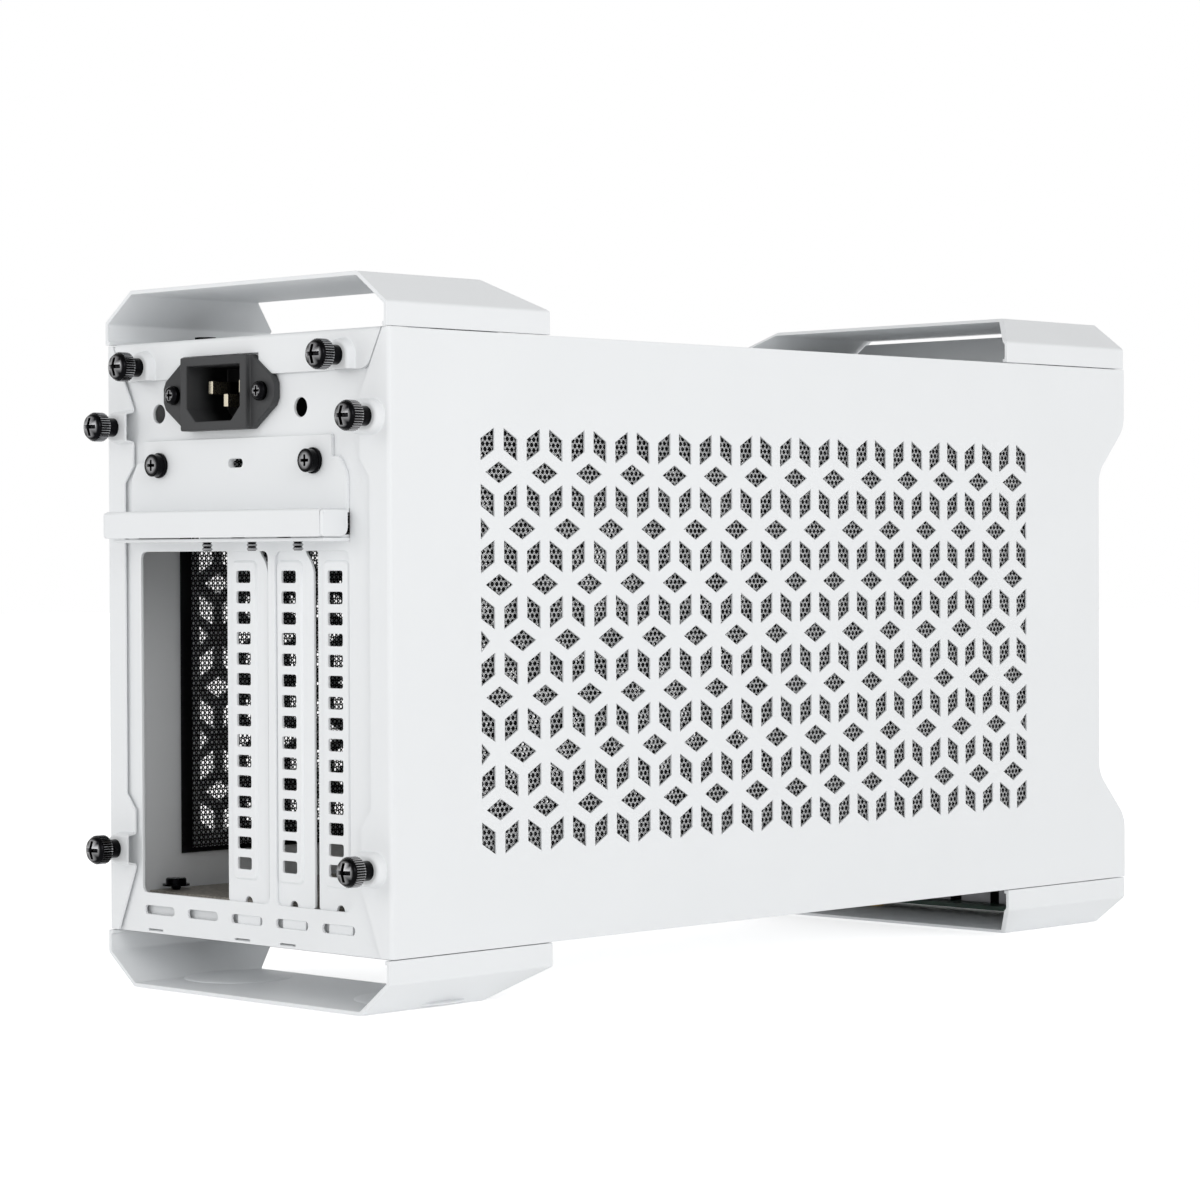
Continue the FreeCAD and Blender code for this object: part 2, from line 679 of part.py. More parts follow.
def build_rails():
    """Two angle rails that join the rear wall to the front wall under the top cover."""
    outer = side_clear - D.chassis_gauge
    start = waist_face + D.frame_setback + D.chassis_gauge
    for label, sign in (("top_rail_left", -1), ("top_rail_right", 1)):
        path = [
            (sign * outer, frame_top - D.rail_drop), (sign * outer, frame_top),
            (sign * (outer - D.rail_width), frame_top),
        ]
        path = path if sign < 0 else path[::-1]
        keep(folded(label, "XZ", start, panel_back, path, D.chassis_gauge, False))


def base_half():
    """Half width of the base plate."""
    return side_clear - D.chassis_gauge - D.base_gap


def base_span():
    """Front and rear Y of the base plate."""
    return waist_face + D.base_front, rear - D.base_setback


def build_base_plate():
    """Bare plate on two folded legs above the tray."""
    wide = base_half()
    floor, top = body_floor + D.chassis_gauge, above(D.base_level)
    path = [(-wide, floor), (-wide, top), (wide, top), (wide, floor)]
    low, high = base_span()
    body = folded("base_plate", "XZ", low, high, path, D.base_gauge, False)
    holes = [(draw_ring, place, SCREW_HOLE) for place in base_screws()]
    pocket(body, "XY", top - D.base_gauge - OVER, top + OVER, draw_many, holes)
    keep(body)
    length = D.base_gauge + D.screw_past + D.chassis_gauge
    head, rise = D.screw_head + D.washer_extra, D.screw_head_height + D.hex_rise
    pattern = machine_screw("base_plate_screw", length, (0, 0, 1), head, rise)
    keep(group("base_plate_screws", pattern, [(x, y, top) for x, y in base_screws()]))


def base_screws():
    """X and Y of the base plate screws."""
    x = base_half() - D.base_screw_inset
    low, high = base_span()
    far, near = low + D.base_screw_front, high - D.base_screw_rear
    return [(-x, far), (x, far), (-x, near), (x, near)]


# Handles and feet


def shoulder_path(base, sign, rise):
    """Section of a handle (sign 1) or foot (sign -1), from one screw tab round to the other."""
    outer = half - D.handle_inset
    shoulder = base + sign * D.handle_wall
    crown = base + sign * rise
    path = [
        (D.tab_width - outer, base), (-outer, base), (-outer, shoulder), (D.handle_slope - outer, crown),
        (outer - D.handle_slope, crown), (outer, shoulder), (outer, base), (outer - D.tab_width, base),
    ]
    return path if sign > 0 else path[::-1]


def bridge_spans():
    """Y of the square end, plate end and side end of the rear and front bridges."""
    back, ahead = rear + D.rear_overhang, front
    return {
        "rear": (back, rear - D.rear_plate_length, rear - D.rear_side_length),
        "front": (ahead, front + D.front_plate_length, front + D.front_side_length),
    }


def tab_span(name):
    """Low and high Y of the screw tabs of a bridge."""
    square = bridge_spans()[name][0]
    if name == "rear":
        return square - D.tab_setback - D.tab_length, square - D.tab_setback
    return square + D.tab_setback, square + D.tab_setback + D.tab_length


def tab_screws():
    """X and Y of the screws in the tabs of both bridges."""
    x = half - D.handle_inset - D.tab_width * 0.6
    places = []
    for name in ("rear", "front"):
        low, high = tab_span(name)
        places += [(-x, (low + high) / 2), (x, (low + high) / 2)]
    return places


def build_bridge(label, name, base, sign, rise):
    """Handle or foot: one sheet folded into a bridge, one end square and the other slanting."""
    square, plate_end, side_end = bridge_spans()[name]
    low, high = (side_end, square) if name == "rear" else (square, side_end)
    path = shoulder_path(base, sign, rise)
    body = folded(label, "XZ", low, high, path, D.gauge, path[2:-2])
    outer = half - D.handle_inset
    past = side_end + (-OVER if name == "rear" else OVER)
    shoulder, beyond = base + sign * D.handle_wall, base + sign * (rise + OVER)
    slant = (rise + OVER - D.handle_wall) / (rise - D.handle_wall)
    tip = side_end + (plate_end - side_end) * slant
    wedge = [(past, shoulder), (side_end, shoulder), (tip, beyond), (past, beyond)]
    pocket(body, "YZ", -half - OVER, half + OVER, draw_polygon, wedge)
    tab_low, tab_high = tab_span(name)
    inner = outer - D.gauge - D.bend
    foot, clear = base - sign * OVER, base + sign * (D.gauge + D.bend * 0.5)
    for cut_low, cut_high in ((low - OVER, tab_low), (tab_high, high + OVER)):
        pocket(body, "XZ", cut_low, cut_high, draw_rectangle, -inner, foot, inner, clear)
    for x, y in tab_screws():
        if low.number < y.number < high.number:
            under, over = (foot, base + sign * (D.gauge + OVER))[::sign]
            pocket(body, "XY", under, over, draw_ring, (x, y), SCREW_HOLE)
    return keep(body)


# Loose panels


def emboss(body, plane_low, place, reach, horizontal):
    """Hollow seat for a thumbscrew, open at the flange edge it runs to.

    Args:
        body: sheet that is embossed.
        plane_low: Y of the sheet's outer face.
        place: X and Z of the thumbscrew.
        reach: signed run from the thumbscrew to the flange edge.
        horizontal: whether that run lies along X.
    """
    x, z = place
    wide = D.boss_width / 2
    crown = plane_low + D.boss_rise
    way = 1 if reach.number > 0 else -1
    run = reach * way

    def outline(inset):
        side = wide - inset
        slim = side * math.tan(math.pi / 8)
        shape = [(run, -side), (run, side), (-slim, side), (-side, slim), (-side, -slim), (-slim, -side)]
        if horizontal:
            return [(x + along * way, z + aside) for along, aside in shape]
        return [(x + aside, z + along * way) for along, aside in shape]

    pad(body, "XZ", plane_low - D.gauge * 0.5, crown, draw_polygon, outline(Size.of(0)))
    hollow = outline(D.gauge)
    pocket(body, "XZ", plane_low - D.gauge - OVER, crown - D.gauge, draw_polygon, hollow)
    pocket(body, "XZ", plane_low - D.gauge - OVER, crown + OVER, draw_ring, place, THUMB_HOLE)


def rhomb_cells():
    """Centre and kind of every opening of the perforated field, from its lower rear corner.

    Rows of upright rhombs lean one way and the other in turn, so that each pair of rows leaves a
    line of flat rhombs between them, as in a tumbling-block floor.
    """
    pairs, rows = round(D.field_pairs.number), round(D.field_rows.number)
    pitch = field_length.number / (pairs - (1 - D.field_share.number) / 2)
    step = D.field_height.number / rows
    left = D.field_share.number * pitch / 4
    cells = []
    for row in range(rows):
        level = (row + 0.5) * step
        lean = 1 if row % 2 == 0 else -1
        for pair in range(pairs):
            cells.append((left + pair * pitch, level, lean))
            cells.append((left + (pair + 0.5) * pitch, level, -lean))
        if row == rows - 1:
            continue
        shift = 0.25 if lean < 0 else 0.75
        for pair in range(pairs if lean < 0 else pairs - 1):
            cells.append((left + (pair + shift) * pitch, level + step / 2, 0))
    return cells, pitch, step


def rhomb_outline(centre, level, lean, pitch, step):
    """Four corners of one opening, in the plane of the side panel."""
    share = D.field_share.number
    wide, rise = pitch / 4 * share, step / 3 * share
    if lean == 0:
        corners = [(-2 * wide, 0), (0, -rise), (2 * wide, 0), (0, rise)]
    else:
        skew = lean * rise / 2
        corners = [(-wide, -rise - skew), (wide, -rise + skew), (wide, rise + skew), (-wide, rise - skew)]
    return [(centre + x, level + z) for x, z in corners]


def field_cutter(label, sign):
    """Prisms of the perforated field, which lie across one side panel."""
    cells, pitch, step = rhomb_cells()
    start = (rear - D.field_start).number
    low = (body_floor + D.body_height / 2 - D.field_height / 2).number
    face = sign * (half.number + OVER)
    through = Vector(-sign * (D.gauge.number + 2 * OVER), 0, 0)
    prisms = []
    for cell in cells:
        ring = [Vector(face, start - y, low + z) for y, z in rhomb_outline(*cell, pitch, step)]
        outline = Part.Face(Part.makePolygon(ring + ring[:1]))
        prisms.append(outline.extrude(through))
    cutter = doc.addObject("Part::Feature", label)
    cutter.Shape = Part.makeCompound(prisms)
    return cutter


def flange_waste(sign):
    """What is cut from the rear flange of a side panel, as X and Z corners."""
    tab, slim, foot = D.flange_tab, D.flange_width, D.flange_foot
    outer, inner, slope = D.flange_tab_outer, D.flange_tab_inner, D.flange_slope
    upper, lower = above(upper_screw), above(lower_screw)
    past = tab + OVER
    depths = [
        (past, body_top + OVER), (D.top_tab_corner - D.seam, body_top + OVER),
        (D.top_tab_corner - D.seam, body_top), (tab, upper + outer), (tab, upper - inner),
        (slim, upper - inner - slope), (slim, lower + inner + slope), (tab, lower + inner),
        (tab, lower - outer), (foot, body_floor), (foot, body_floor - OVER), (past, body_floor - OVER),
    ]
    return [(sign * (half - depth), level) for depth, level in depths]


def build_side(side, sign):
    """Side panel: flat sheet with a waisted front edge, a rear flange and the perforated field."""
    low, high = body_floor + D.fit, body_top - D.fit
    path = [(sign * half, front), (sign * half, rear), (sign * (half - D.flange_tab), rear)]
    body = folded(f"side_sheet_{side}", "XY", low, high, path if sign < 0 else path[::-1], D.gauge)
    inside = sign * (half - D.gauge - OVER)
    through = sorted((inside, sign * (half + OVER)), key=lambda size: size.number)
    upper, lower = above(waist_top), above(D.waist_bottom)
    waist = [
        (front - OVER, upper), (front, upper), (waist_face, upper - D.waist_slope),
        (waist_face, lower + D.waist_slope), (front, lower), (front - OVER, lower),
    ]
    pocket(body, "YZ", *through, draw_polygon, waist)
    round_corners(body, "X", waist[1:5], D.waist_round)
    pocket(body, "XZ", rear - D.gauge - D.bend, rear + OVER, draw_polygon, flange_waste(sign))
    for level in (lower_screw, upper_screw):
        reach = D.flange_tab - D.side_screw_inset
        emboss(body, rear, (sign * (half - D.side_screw_inset), above(level)), -sign * reach, True)
    doc.recompute()
    panel = doc.addObject("Part::Cut", f"side_panel_{side}")
    panel.Label = f"side_panel_{side}"
    panel.Base = body
    panel.Tool = field_cutter(f"field_{side}", sign)
    keep(panel)


def build_mesh(side, sign):
    """Dust mesh on the inside of a side panel, with a plain grid of openings."""
    inner = half - D.gauge
    low, high = (inner - D.mesh_gauge, inner) if sign > 0 else (-inner, D.mesh_gauge - inner)
    start = rear - D.field_start - field_length - D.mesh_margin
    level = body_floor + D.body_height / 2 - D.field_height / 2 - D.mesh_margin
    length, height = field_length + 2 * D.mesh_margin, D.field_height + 2 * D.mesh_margin
    body = new_body(f"side_mesh_{side}")
    pad(body, "YZ", low, high, draw_rectangle, start, level, start + length, level + height)
    columns, rows = D.mesh_columns, D.mesh_rows
    along, up = (length - D.mesh_web) / columns, (height - D.mesh_web) / rows
    openings = []
    for column in range(round(columns.number)):
        for row in range(round(rows.number)):
            y, z = start + D.mesh_web + column * along, level + D.mesh_web + row * up
            openings.append((draw_rectangle, y, z, y + along - D.mesh_web, z + up - D.mesh_web))
    pocket(body, "YZ", low - OVER, high + OVER, draw_many, openings)
    keep(body)


def build_top_cover():
    """Top cover with a rear tab that carries two thumbscrews."""
    ahead = front + D.front_setback + D.front_gauge + 2 * D.fit
    drop = body_top - D.top_tab_drop
    path = [(ahead, body_top), (rear, body_top), (rear, drop)]
    lean = (D.flange_tab - D.top_tab_corner + D.seam) / (
        D.side_screw_end - D.flange_tab_outer)
    wide = half - D.top_tab_corner - lean * D.gauge
    body = folded("top_cover", "YZ", -wide, wide, path, D.gauge)
    for sign in (-1, 1):
        top = sign * wide
        bottom = sign * (wide - lean * (D.top_tab_drop - D.gauge))
        past = sign * (wide + OVER)
        waste = [
            (past, cover_under), (top, cover_under), (bottom, drop),
            (bottom, drop - OVER), (past, drop - OVER),
        ]
        pocket(body, "XZ", rear - D.gauge - D.bend, rear + OVER, draw_polygon, waste)
        round_corners(body, "Y", [(bottom, drop)], D.top_tab_round)
    notch = inlet_outline(2 * D.fit)
    pocket(body, "XZ", rear - D.gauge - D.bend, rear + OVER, draw_polygon, notch)
    for sign in (-1, 1):
        place = (sign * (half - D.top_screw_inset), body_top - D.top_screw_drop)
        emboss(body, rear, place, D.top_screw_drop - D.top_tab_drop, False)
    for x, y in tab_screws():
        pocket(body, "XY", cover_under - OVER, body_top + OVER, draw_ring, (x, y), SCREW_HOLE)
    keep(body)


def build_thumbscrews():
    """Six captive thumbscrews, each seated on the crown of its embossed seat."""
    seat = D.boss_rise
    tip = D.thumb_reach - seat
    grip = tip - D.thumb_head_length
    rings = [
        (-D.thumb_thread_length, 0, D.thumb_thread),
        (0, grip, D.thumb_neck, D.head_flats),
        (grip, tip, D.thumb_head, D.knurl_flats),
    ]
    for name, (x, z) in thumb_places().items():
        body = stacked(f"thumbscrew_{name}", rings, (x, rear + seat, z), (0, 1, 0))
        bevel_top(body, tip, D.thumb_head_length * 0.3)
        keep(body)


# Rear fittings


def cover_sheet(label, middle):
    """Folded blade of one slot cover, narrowed to its tongue and notched beside its foot."""
    shelf, inner = above(shelf_level), panel_back - D.cover_gauge
    end = rear + D.shelf_reach - D.cover_setback
    over = shelf + D.cover_gauge
    path = [(inner, above(D.cover_end)), (inner, over), (end, over)]
    low, high = middle - D.cover_width / 2, middle + D.cover_width / 2
    body = folded(label, "YZ", low, high, path, D.cover_gauge, False)
    back, face = inner - OVER, panel_back + OVER
    past, narrow = above(D.cover_end) - OVER, above(D.slot_low - D.cover_taper + D.fit)
    wide = narrow + D.cover_taper
    for edge, sign in ((low, -1), (high, 1)):
        tongue = middle + sign * D.cover_tongue / 2
        beyond = edge + sign * OVER
        waste = [(beyond, past), (tongue, past), (tongue, narrow), (edge, wide), (beyond, wide)]
        pocket(body, "XZ", back, face, draw_polygon, waste)
    notch, top = low + D.cover_notch, over + OVER
    foot = shelf - D.cover_taper
    waste = [
        (low - OVER, foot - D.cover_notch), (low, foot - D.cover_notch), (notch, foot),
        (notch, top), (low - OVER, top),
    ]
    pocket(body, "XZ", back, face, draw_polygon, waste)
    pocket(body, "XY", shelf - OVER, top, draw_rectangle, low - OVER, back, notch, end + OVER)
    return body


def add_vents(body, middle):
    """Raised band of a slot cover with its row of vent holes."""
    back = panel_back - D.cover_gauge - OVER
    crown = panel_back + D.band_rise
    x, z = middle + D.band_shift, above(D.vent_low)
    left, right = x - D.cover_band / 2, x + D.cover_band / 2
    bottom, top = above(D.band_low), above(band_high)
    pad(body, "XZ", panel_back - D.band_rise / 2, crown, draw_rectangle, left, bottom, right, top)
    wall = D.cover_gauge
    hollow = (left + wall, bottom + wall, right - wall, top - wall)
    pocket(body, "XZ", back, crown - wall, draw_rectangle, *hollow)
    vent = pocket(body, "XZ", back, crown + OVER, draw_many, [box_at(x, z, D.vent_width, D.vent_height)])
    pattern = body.newObject("PartDesign::LinearPattern", "LinearPattern")
    pattern.Originals = [vent]
    pattern.Direction = (vent.Profile[0], ["V_Axis"])
    pattern.setExpression("Length", (vent_high - D.vent_low).text)
    pattern.setExpression("Occurrences", D.vent_count.text)
    body.Tip = pattern
    doc.recompute()


def build_slot_covers():
    """Covers of the last three expansion slots, and their screws."""
    shelf = above(shelf_level)
    level = shelf + D.cover_gauge
    back = panel_back - D.cover_gauge - OVER
    places = []
    for number in COVERED_SLOTS:
        middle = slot_middle(number)
        body = cover_sheet(f"slot_cover_{number}", middle)
        add_vents(body, middle)
        hole = (middle, above(D.slot_low))
        pocket(body, "XZ", back, panel_back + OVER, draw_ring, hole, D.cover_hole)
        screw = (slot_screw_x(number), slot_screw_y())
        pocket(body, "XY", shelf - OVER, level + OVER, draw_ring, screw, SCREW_HOLE)
        places.append((*screw, level))
        keep(body)
    length = D.cover_gauge + D.chassis_gauge + D.screw_past - D.cover_setback
    keep(group("slot_screws", machine_screw("slot_screw", length, (0, 0, 1)), places))


def hood_plate():
    """Outline of the hood's plate, in X and Z."""
    middle = across(D.hood_middle)
    wide, neck = D.hood_width / 2 - D.hood_edge, D.hood_neck / 2
    ledge = neck + D.hood_shoulder
    low, top = above(hood_fold) - D.gauge, above(hood_top)
    step = above(hood_screw_level + D.hood_edge)
    side = [(wide, low), (wide, step - D.hood_step), (ledge, step), (neck, step), (neck, top)]
    right = [(middle + x, z) for x, z in side]
    left = [(middle - x, z) for x, z in side]
    return right + left[::-1]


def build_hood():
    """Retainer hood: a plate on the rear panel, and a canopy over the slot screws with a lip."""
    middle, level = across(D.hood_middle), above(hood_screw_level)
    left, right = middle - D.hood_width / 2, middle + D.hood_width / 2
    fold, lip = above(hood_fold), above(hood_fold - D.hood_lip)
    face, reach = panel_face + D.gauge, rear + D.hood_reach
    body = new_body("slot_hood")
    pad(body, "XY", lip, fold, draw_rectangle, left, panel_face, right, reach)
    round_corners(body, "Z", [(left, reach), (right, reach)], D.bend + D.gauge)
    pocket(body, "XY", lip - OVER, fold - D.gauge, draw_rectangle,
           left + D.gauge, panel_face - OVER, right - D.gauge, reach - D.gauge)
    pad(body, "XZ", panel_face, face, draw_polygon, hood_plate())
    screws = [(middle + sign * D.hood_screw_spacing / 2, level) for sign in (-1, 1)]
    holes = [(draw_ring, place, SCREW_HOLE) for place in screws]
    holes.append(box_at(middle, level, D.hood_slot_width, D.hood_slot_height))
    pocket(body, "XZ", panel_face - OVER, face + OVER, draw_many, holes)
    keep(body)
    length = D.gauge + D.chassis_gauge + D.screw_past + D.chassis_gauge
    head, rise = D.screw_head + D.hex_extra, D.screw_head_height + D.hex_rise
    pattern = machine_screw("hood_screw", length, (0, 1, 0), head, rise)
    keep(group("hood_screws", pattern, [(x, face, z) for x, z in screws]))


def inlet_outline(margin):
    """Lozenge of the inlet flange with blunt ends, widened by a margin."""
    x, z = across(D.inlet_middle), above(inlet_level)
    wide, tall = D.inlet_width / 2 + margin, D.inlet_height / 2 + margin
    reach = D.inlet_flange_end + margin
    screw = D.inlet_spacing / 2
    slim, stout = reach * 0.4, reach * 0.8
    side = [(wide, -tall), (screw + stout, -stout), (screw + reach, -slim),
            (screw + reach, slim), (screw + stout, stout), (wide, tall)]
    right = [(x + across_x, z + level) for across_x, level in side]
    left = [(x - across_x, z + level) for across_x, level in side]
    return right + left[::-1]


def build_inlet():
    """Power inlet: lozenge flange, raised rim, keyed socket with three blades, two screws."""
    x, z = across(D.inlet_middle), above(inlet_level)
    flange = panel_face + D.inlet_flange
    mouth = flange + D.inlet_rim
    body = new_body("inlet_body")
    pad(body, "XZ", panel_face, flange, draw_polygon, inlet_outline(Size.of(0)))
    rim = box_at(x, z, D.inlet_width, D.inlet_height)
    pad(body, "XZ", flange - D.inlet_rim / 4, mouth, draw_many, [rim])
    trunk = box_at(x, z, D.inlet_width - 2 * D.inlet_step, D.inlet_height - 1.5 * D.inlet_step)
    pad(body, "XZ", panel_face - D.inlet_depth, panel_face + D.inlet_rim / 4, draw_many, [trunk])
    wide, tall, cut = D.socket_width / 2, D.socket_height / 2, D.socket_height / 4
    socket = [
        (x - wide, z - tall + cut), (x - wide + cut, z - tall), (x + wide - cut, z - tall),
        (x + wide, z - tall + cut), (x + wide, z + tall), (x - wide, z + tall),
    ]
    floor = mouth - D.socket_depth
    pocket(body, "XZ", floor, mouth + OVER, draw_polygon, socket)
    screws = [(x + sign * D.inlet_spacing / 2, z) for sign in (-1, 1)]
    holes = [(draw_ring, place, SCREW_HOLE) for place in screws]
    pocket(body, "XZ", panel_face - OVER, flange + OVER, draw_many, holes)
    keep(body)
    blades = []
    lift = D.blade_stagger / 2
    for shift, level in ((-D.blade_spacing / 2, lift), (D.blade_spacing / 2, lift), (Size.of(0), -lift)):
        blade = doc.addObject("Part::Box", "blade")
        blade.setExpression("Length", D.blade_width.text)
        blade.setExpression("Width", D.blade_length.text)
        blade.setExpression("Height", D.blade_height.text)
        move_to(blade, (x + shift - D.blade_width / 2, floor, z + level - D.blade_height / 2))
        blades.append(blade)
    pins = doc.addObject("Part::Compound", "inlet_pins")
    pins.Label = "inlet_pins"
    pins.Links = blades
    keep(pins)
    length = D.inlet_flange + D.chassis_gauge + D.screw_past
    pattern = machine_screw("inlet_screw", length, (0, 1, 0), D.screw_head - D.hex_extra)
    keep(group("inlet_screws", pattern, [(place[0], flange, place[1]) for place in screws]))


# Front


def build_front_panel():
    """Front panel that follows the waist and closes the fronts of the handle and the foot."""
    face = front + D.front_setback
    deep = waist_face + D.front_setback
    upper, lower = above(waist_top), above(D.waist_bottom)
    crown = body_top + D.handle_rise - D.gauge - D.crown_gap
    foot = body_floor - D.foot_rise + D.gauge + D.foot_gap
    path = [
        (face, foot), (face, lower), (deep, lower + D.waist_slope),
        (deep, upper - D.waist_slope), (face, upper), (face, crown),
    ]
    body = folded("front_panel", "YZ", -side_clear, side_clear, path, D.front_gauge)
    shoulder = half - D.handle_inset - D.gauge - D.bend
    ratio = (D.handle_slope / (D.handle_rise - D.handle_wall))
    for sign in (-1, 1):
        past = sign * (half + OVER)
        at = sign * (shoulder - D.fit)
        for base, way, end in ((body_top, 1, crown), (body_floor, -1, foot)):
            bend = base + way * (D.handle_wall - D.gauge)
            inner = sign * (shoulder - D.fit - ratio * (D.handle_rise - D.handle_wall))
            start, stop = base - way * D.fit, end + way * OVER
            waste = [(past, start), (at, start), (at, bend), (inner, stop), (past, stop)]
            pocket(body, "XZ", front, deep + D.front_gauge + OVER, draw_polygon, waste)
    gap = 2 * D.port_gap
    holes = []
    for label, x, wide, tall in front_ports():
        holes.append(box_at(x, port_level() + tall / 2, wide + gap, tall + gap))
    place = (D.button_shift, button_level())
    holes.append((draw_ring, place, D.button_diameter + 2 * D.fit, D.knurl_flats))
    pocket(body, "XZ", front, face + D.front_gauge + OVER, draw_many, holes)
    keep(body)


def board_top():
    """Z of the upper face of the front connector board."""
    return D.gauge + D.board_lift + D.board_gauge


def port_level():
    """Z of the underside of the front ports."""
    return board_top()


def button_level():
    """Z of the power button's axis."""
    return board_top() + D.button_diameter / 2 + D.button_collar + D.fit


def front_ports():
    """Name, X, width and height of the ports on the connector board."""
    return [
        ("usb_port_left", Size.of(-26), Size.of(13.2), Size.of(6.0)),
        ("usb_port_right", Size.of(-9), Size.of(13.2), Size.of(6.0)),
        ("usb_c_port", Size.of(7), Size.of(9.0), Size.of(3.3)),
        ("audio_jack", Size.of(17.5), Size.of(6.4), Size.of(5.0)),
    ]


def build_board():
    """Connector board on two posts with its screws."""
    ahead = front + D.front_setback + D.front_gauge + D.board_gap
    wide, low = D.board_width / 2, D.gauge + D.board_lift
    board = new_body("io_board")
    pad(board, "XY", low, board_top(), draw_rectangle, -wide, ahead, wide, ahead + D.board_depth)
    posts = [(sign * (wide - D.post_inset), ahead + D.board_depth * 0.7) for sign in (-1, 1)]
    holes = [(draw_ring, place, SCREW_HOLE) for place in posts]
    pocket(board, "XY", low - OVER, board_top() + OVER, draw_many, holes)
    keep(board)
    post = stacked("board_post", [(0, D.board_lift, D.post_width, D.hole_flats)], (0, 0, 0))
    keep(group("board_posts", post, [(x, y, D.gauge) for x, y in posts]))
    pattern = machine_screw("board_screw", D.board_gauge, (0, 0, 1), D.screw_head - D.chassis_gauge)
    keep(group("board_screws", pattern, [(x, y, board_top()) for x, y in posts]))


def build_ports():
    """Ports on the connector board, hollow from the front."""
    lead = front + D.front_setback
    deep = lead + D.port_length
    inside = deep - D.port_floor
    for label, x, wide, tall in front_ports():
        z = port_level() + tall / 2
        body = new_body(label)
        pad(body, "XZ", lead, deep, draw_many, [box_at(x, z, wide, tall)])
        if label == "audio_jack":
            hollow = (draw_ring, (x, z), D.jack_bore, D.head_flats)
        else:
            hollow = box_at(x, z, wide - 2 * D.port_wall, tall - 2 * D.port_wall)
        pocket(body, "XZ", lead - OVER, inside, draw_many, [hollow])
        if label in ("usb_port_left", "usb_port_right"):
            level = z + D.port_tongue / 2
            tongue = box_at(x, level, wide - 4 * D.port_wall - D.chassis_gauge, D.port_tongue)
            pad(body, "XZ", lead + D.port_floor, inside + D.port_wall, draw_many, [tongue])
        keep(body)


def build_button():
    """Power button behind the front panel, and the switch that it presses."""
    lead = front + D.front_setback
    ahead = lead + D.front_gauge
    x, z = D.button_shift, button_level()
    rear_face = ahead + D.board_gap + D.board_depth * 0.6
    start = rear_face - D.switch_depth
    low = board_top()
    switch = new_body("power_switch")
    pad(switch, "XZ", start, rear_face, draw_rectangle,
        x - D.switch_width / 2, low, x + D.switch_width / 2, low + D.switch_height)
    keep(switch)
    cap = D.front_gauge + D.fit + D.button_proud
    collar = D.button_diameter + 2 * D.button_collar
    stem_end = start - D.button_travel - D.fit - lead + D.button_proud
    rings = [
        (0, cap, D.button_diameter, D.knurl_flats),
        (cap, cap + D.button_flange, collar, D.head_flats),
        (cap + D.button_flange, stem_end, D.button_stem, D.hole_flats),
    ]
    keep(stacked("power_button", rings, (x, lead - D.button_proud, z), (0, 1, 0)))


def build_tab_screws():
    """Screws of the handles and of the feet."""
    pattern = machine_screw("handle_screw", D.gauge * 2, (0, 0, 1))
    level = body_top + D.gauge
    keep(group("handle_screws", pattern, [(x, y, level) for x, y in tab_screws()]))
    pattern = machine_screw("foot_screw", D.gauge + D.screw_past, (0, 0, -1))
    level = body_floor - D.gauge
    keep(group("foot_screws", pattern, [(x, y, level) for x, y in tab_screws()]))


def check_document():
    """Stop if any object failed or any sub-part has no sound shape."""
    for item in doc.Objects:
        if "Invalid" in item.State or "Error" in item.State:
            raise RuntimeError(f"{item.Label} failed to compute")
    for item in PARTS:
        if item.Shape.isNull() or not item.Shape.isValid():
            raise RuntimeError(f"{item.Label} has no sound shape")


def main():
    """Build every sub-part and write it under its own name."""
    build_rear_panel()
    build_tray()
    build_front_frame()
    build_rails()
    build_base_plate()
    build_bridge("rear_handle", "rear", body_top, 1, D.handle_rise)
    build_bridge("front_handle", "front", body_top, 1, D.handle_rise)
    build_bridge("rear_foot", "rear", body_floor, -1, D.foot_rise)
    build_bridge("front_foot", "front", body_floor, -1, D.foot_rise)
    build_tab_screws()
    build_side("left", -1)
    build_side("right", 1)
    build_mesh("left", -1)
    build_mesh("right", 1)
    build_top_cover()
    build_thumbscrews()
    build_slot_covers()
    build_hood()
    build_inlet()
    build_front_panel()
    build_board()
    build_ports()
    build_button()
    doc.recompute()
    check_document()
    os.makedirs("parts", exist_ok=True)
    for item in PARTS:
        item.Shape.exportStep(f"parts/{item.Label}.step")


main()
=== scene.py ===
"""Looks of a white sheet-metal computer case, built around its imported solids.

Lengths below are in millimetres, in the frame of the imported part: X runs across the
case (the photographed side panel is at -X), Y towards the rear and Z up from the floor.
Meshes are written in metres.
"""

import json
import logging
import math
from dataclasses import dataclass, field
from enum import Enum
from typing import Iterable, Sequence

import bmesh
import bpy
from bmesh.types import BMEdge, BMesh, BMVert
from bpy.types import Material, Node, NodeSocket
from mathutils import Matrix, Vector


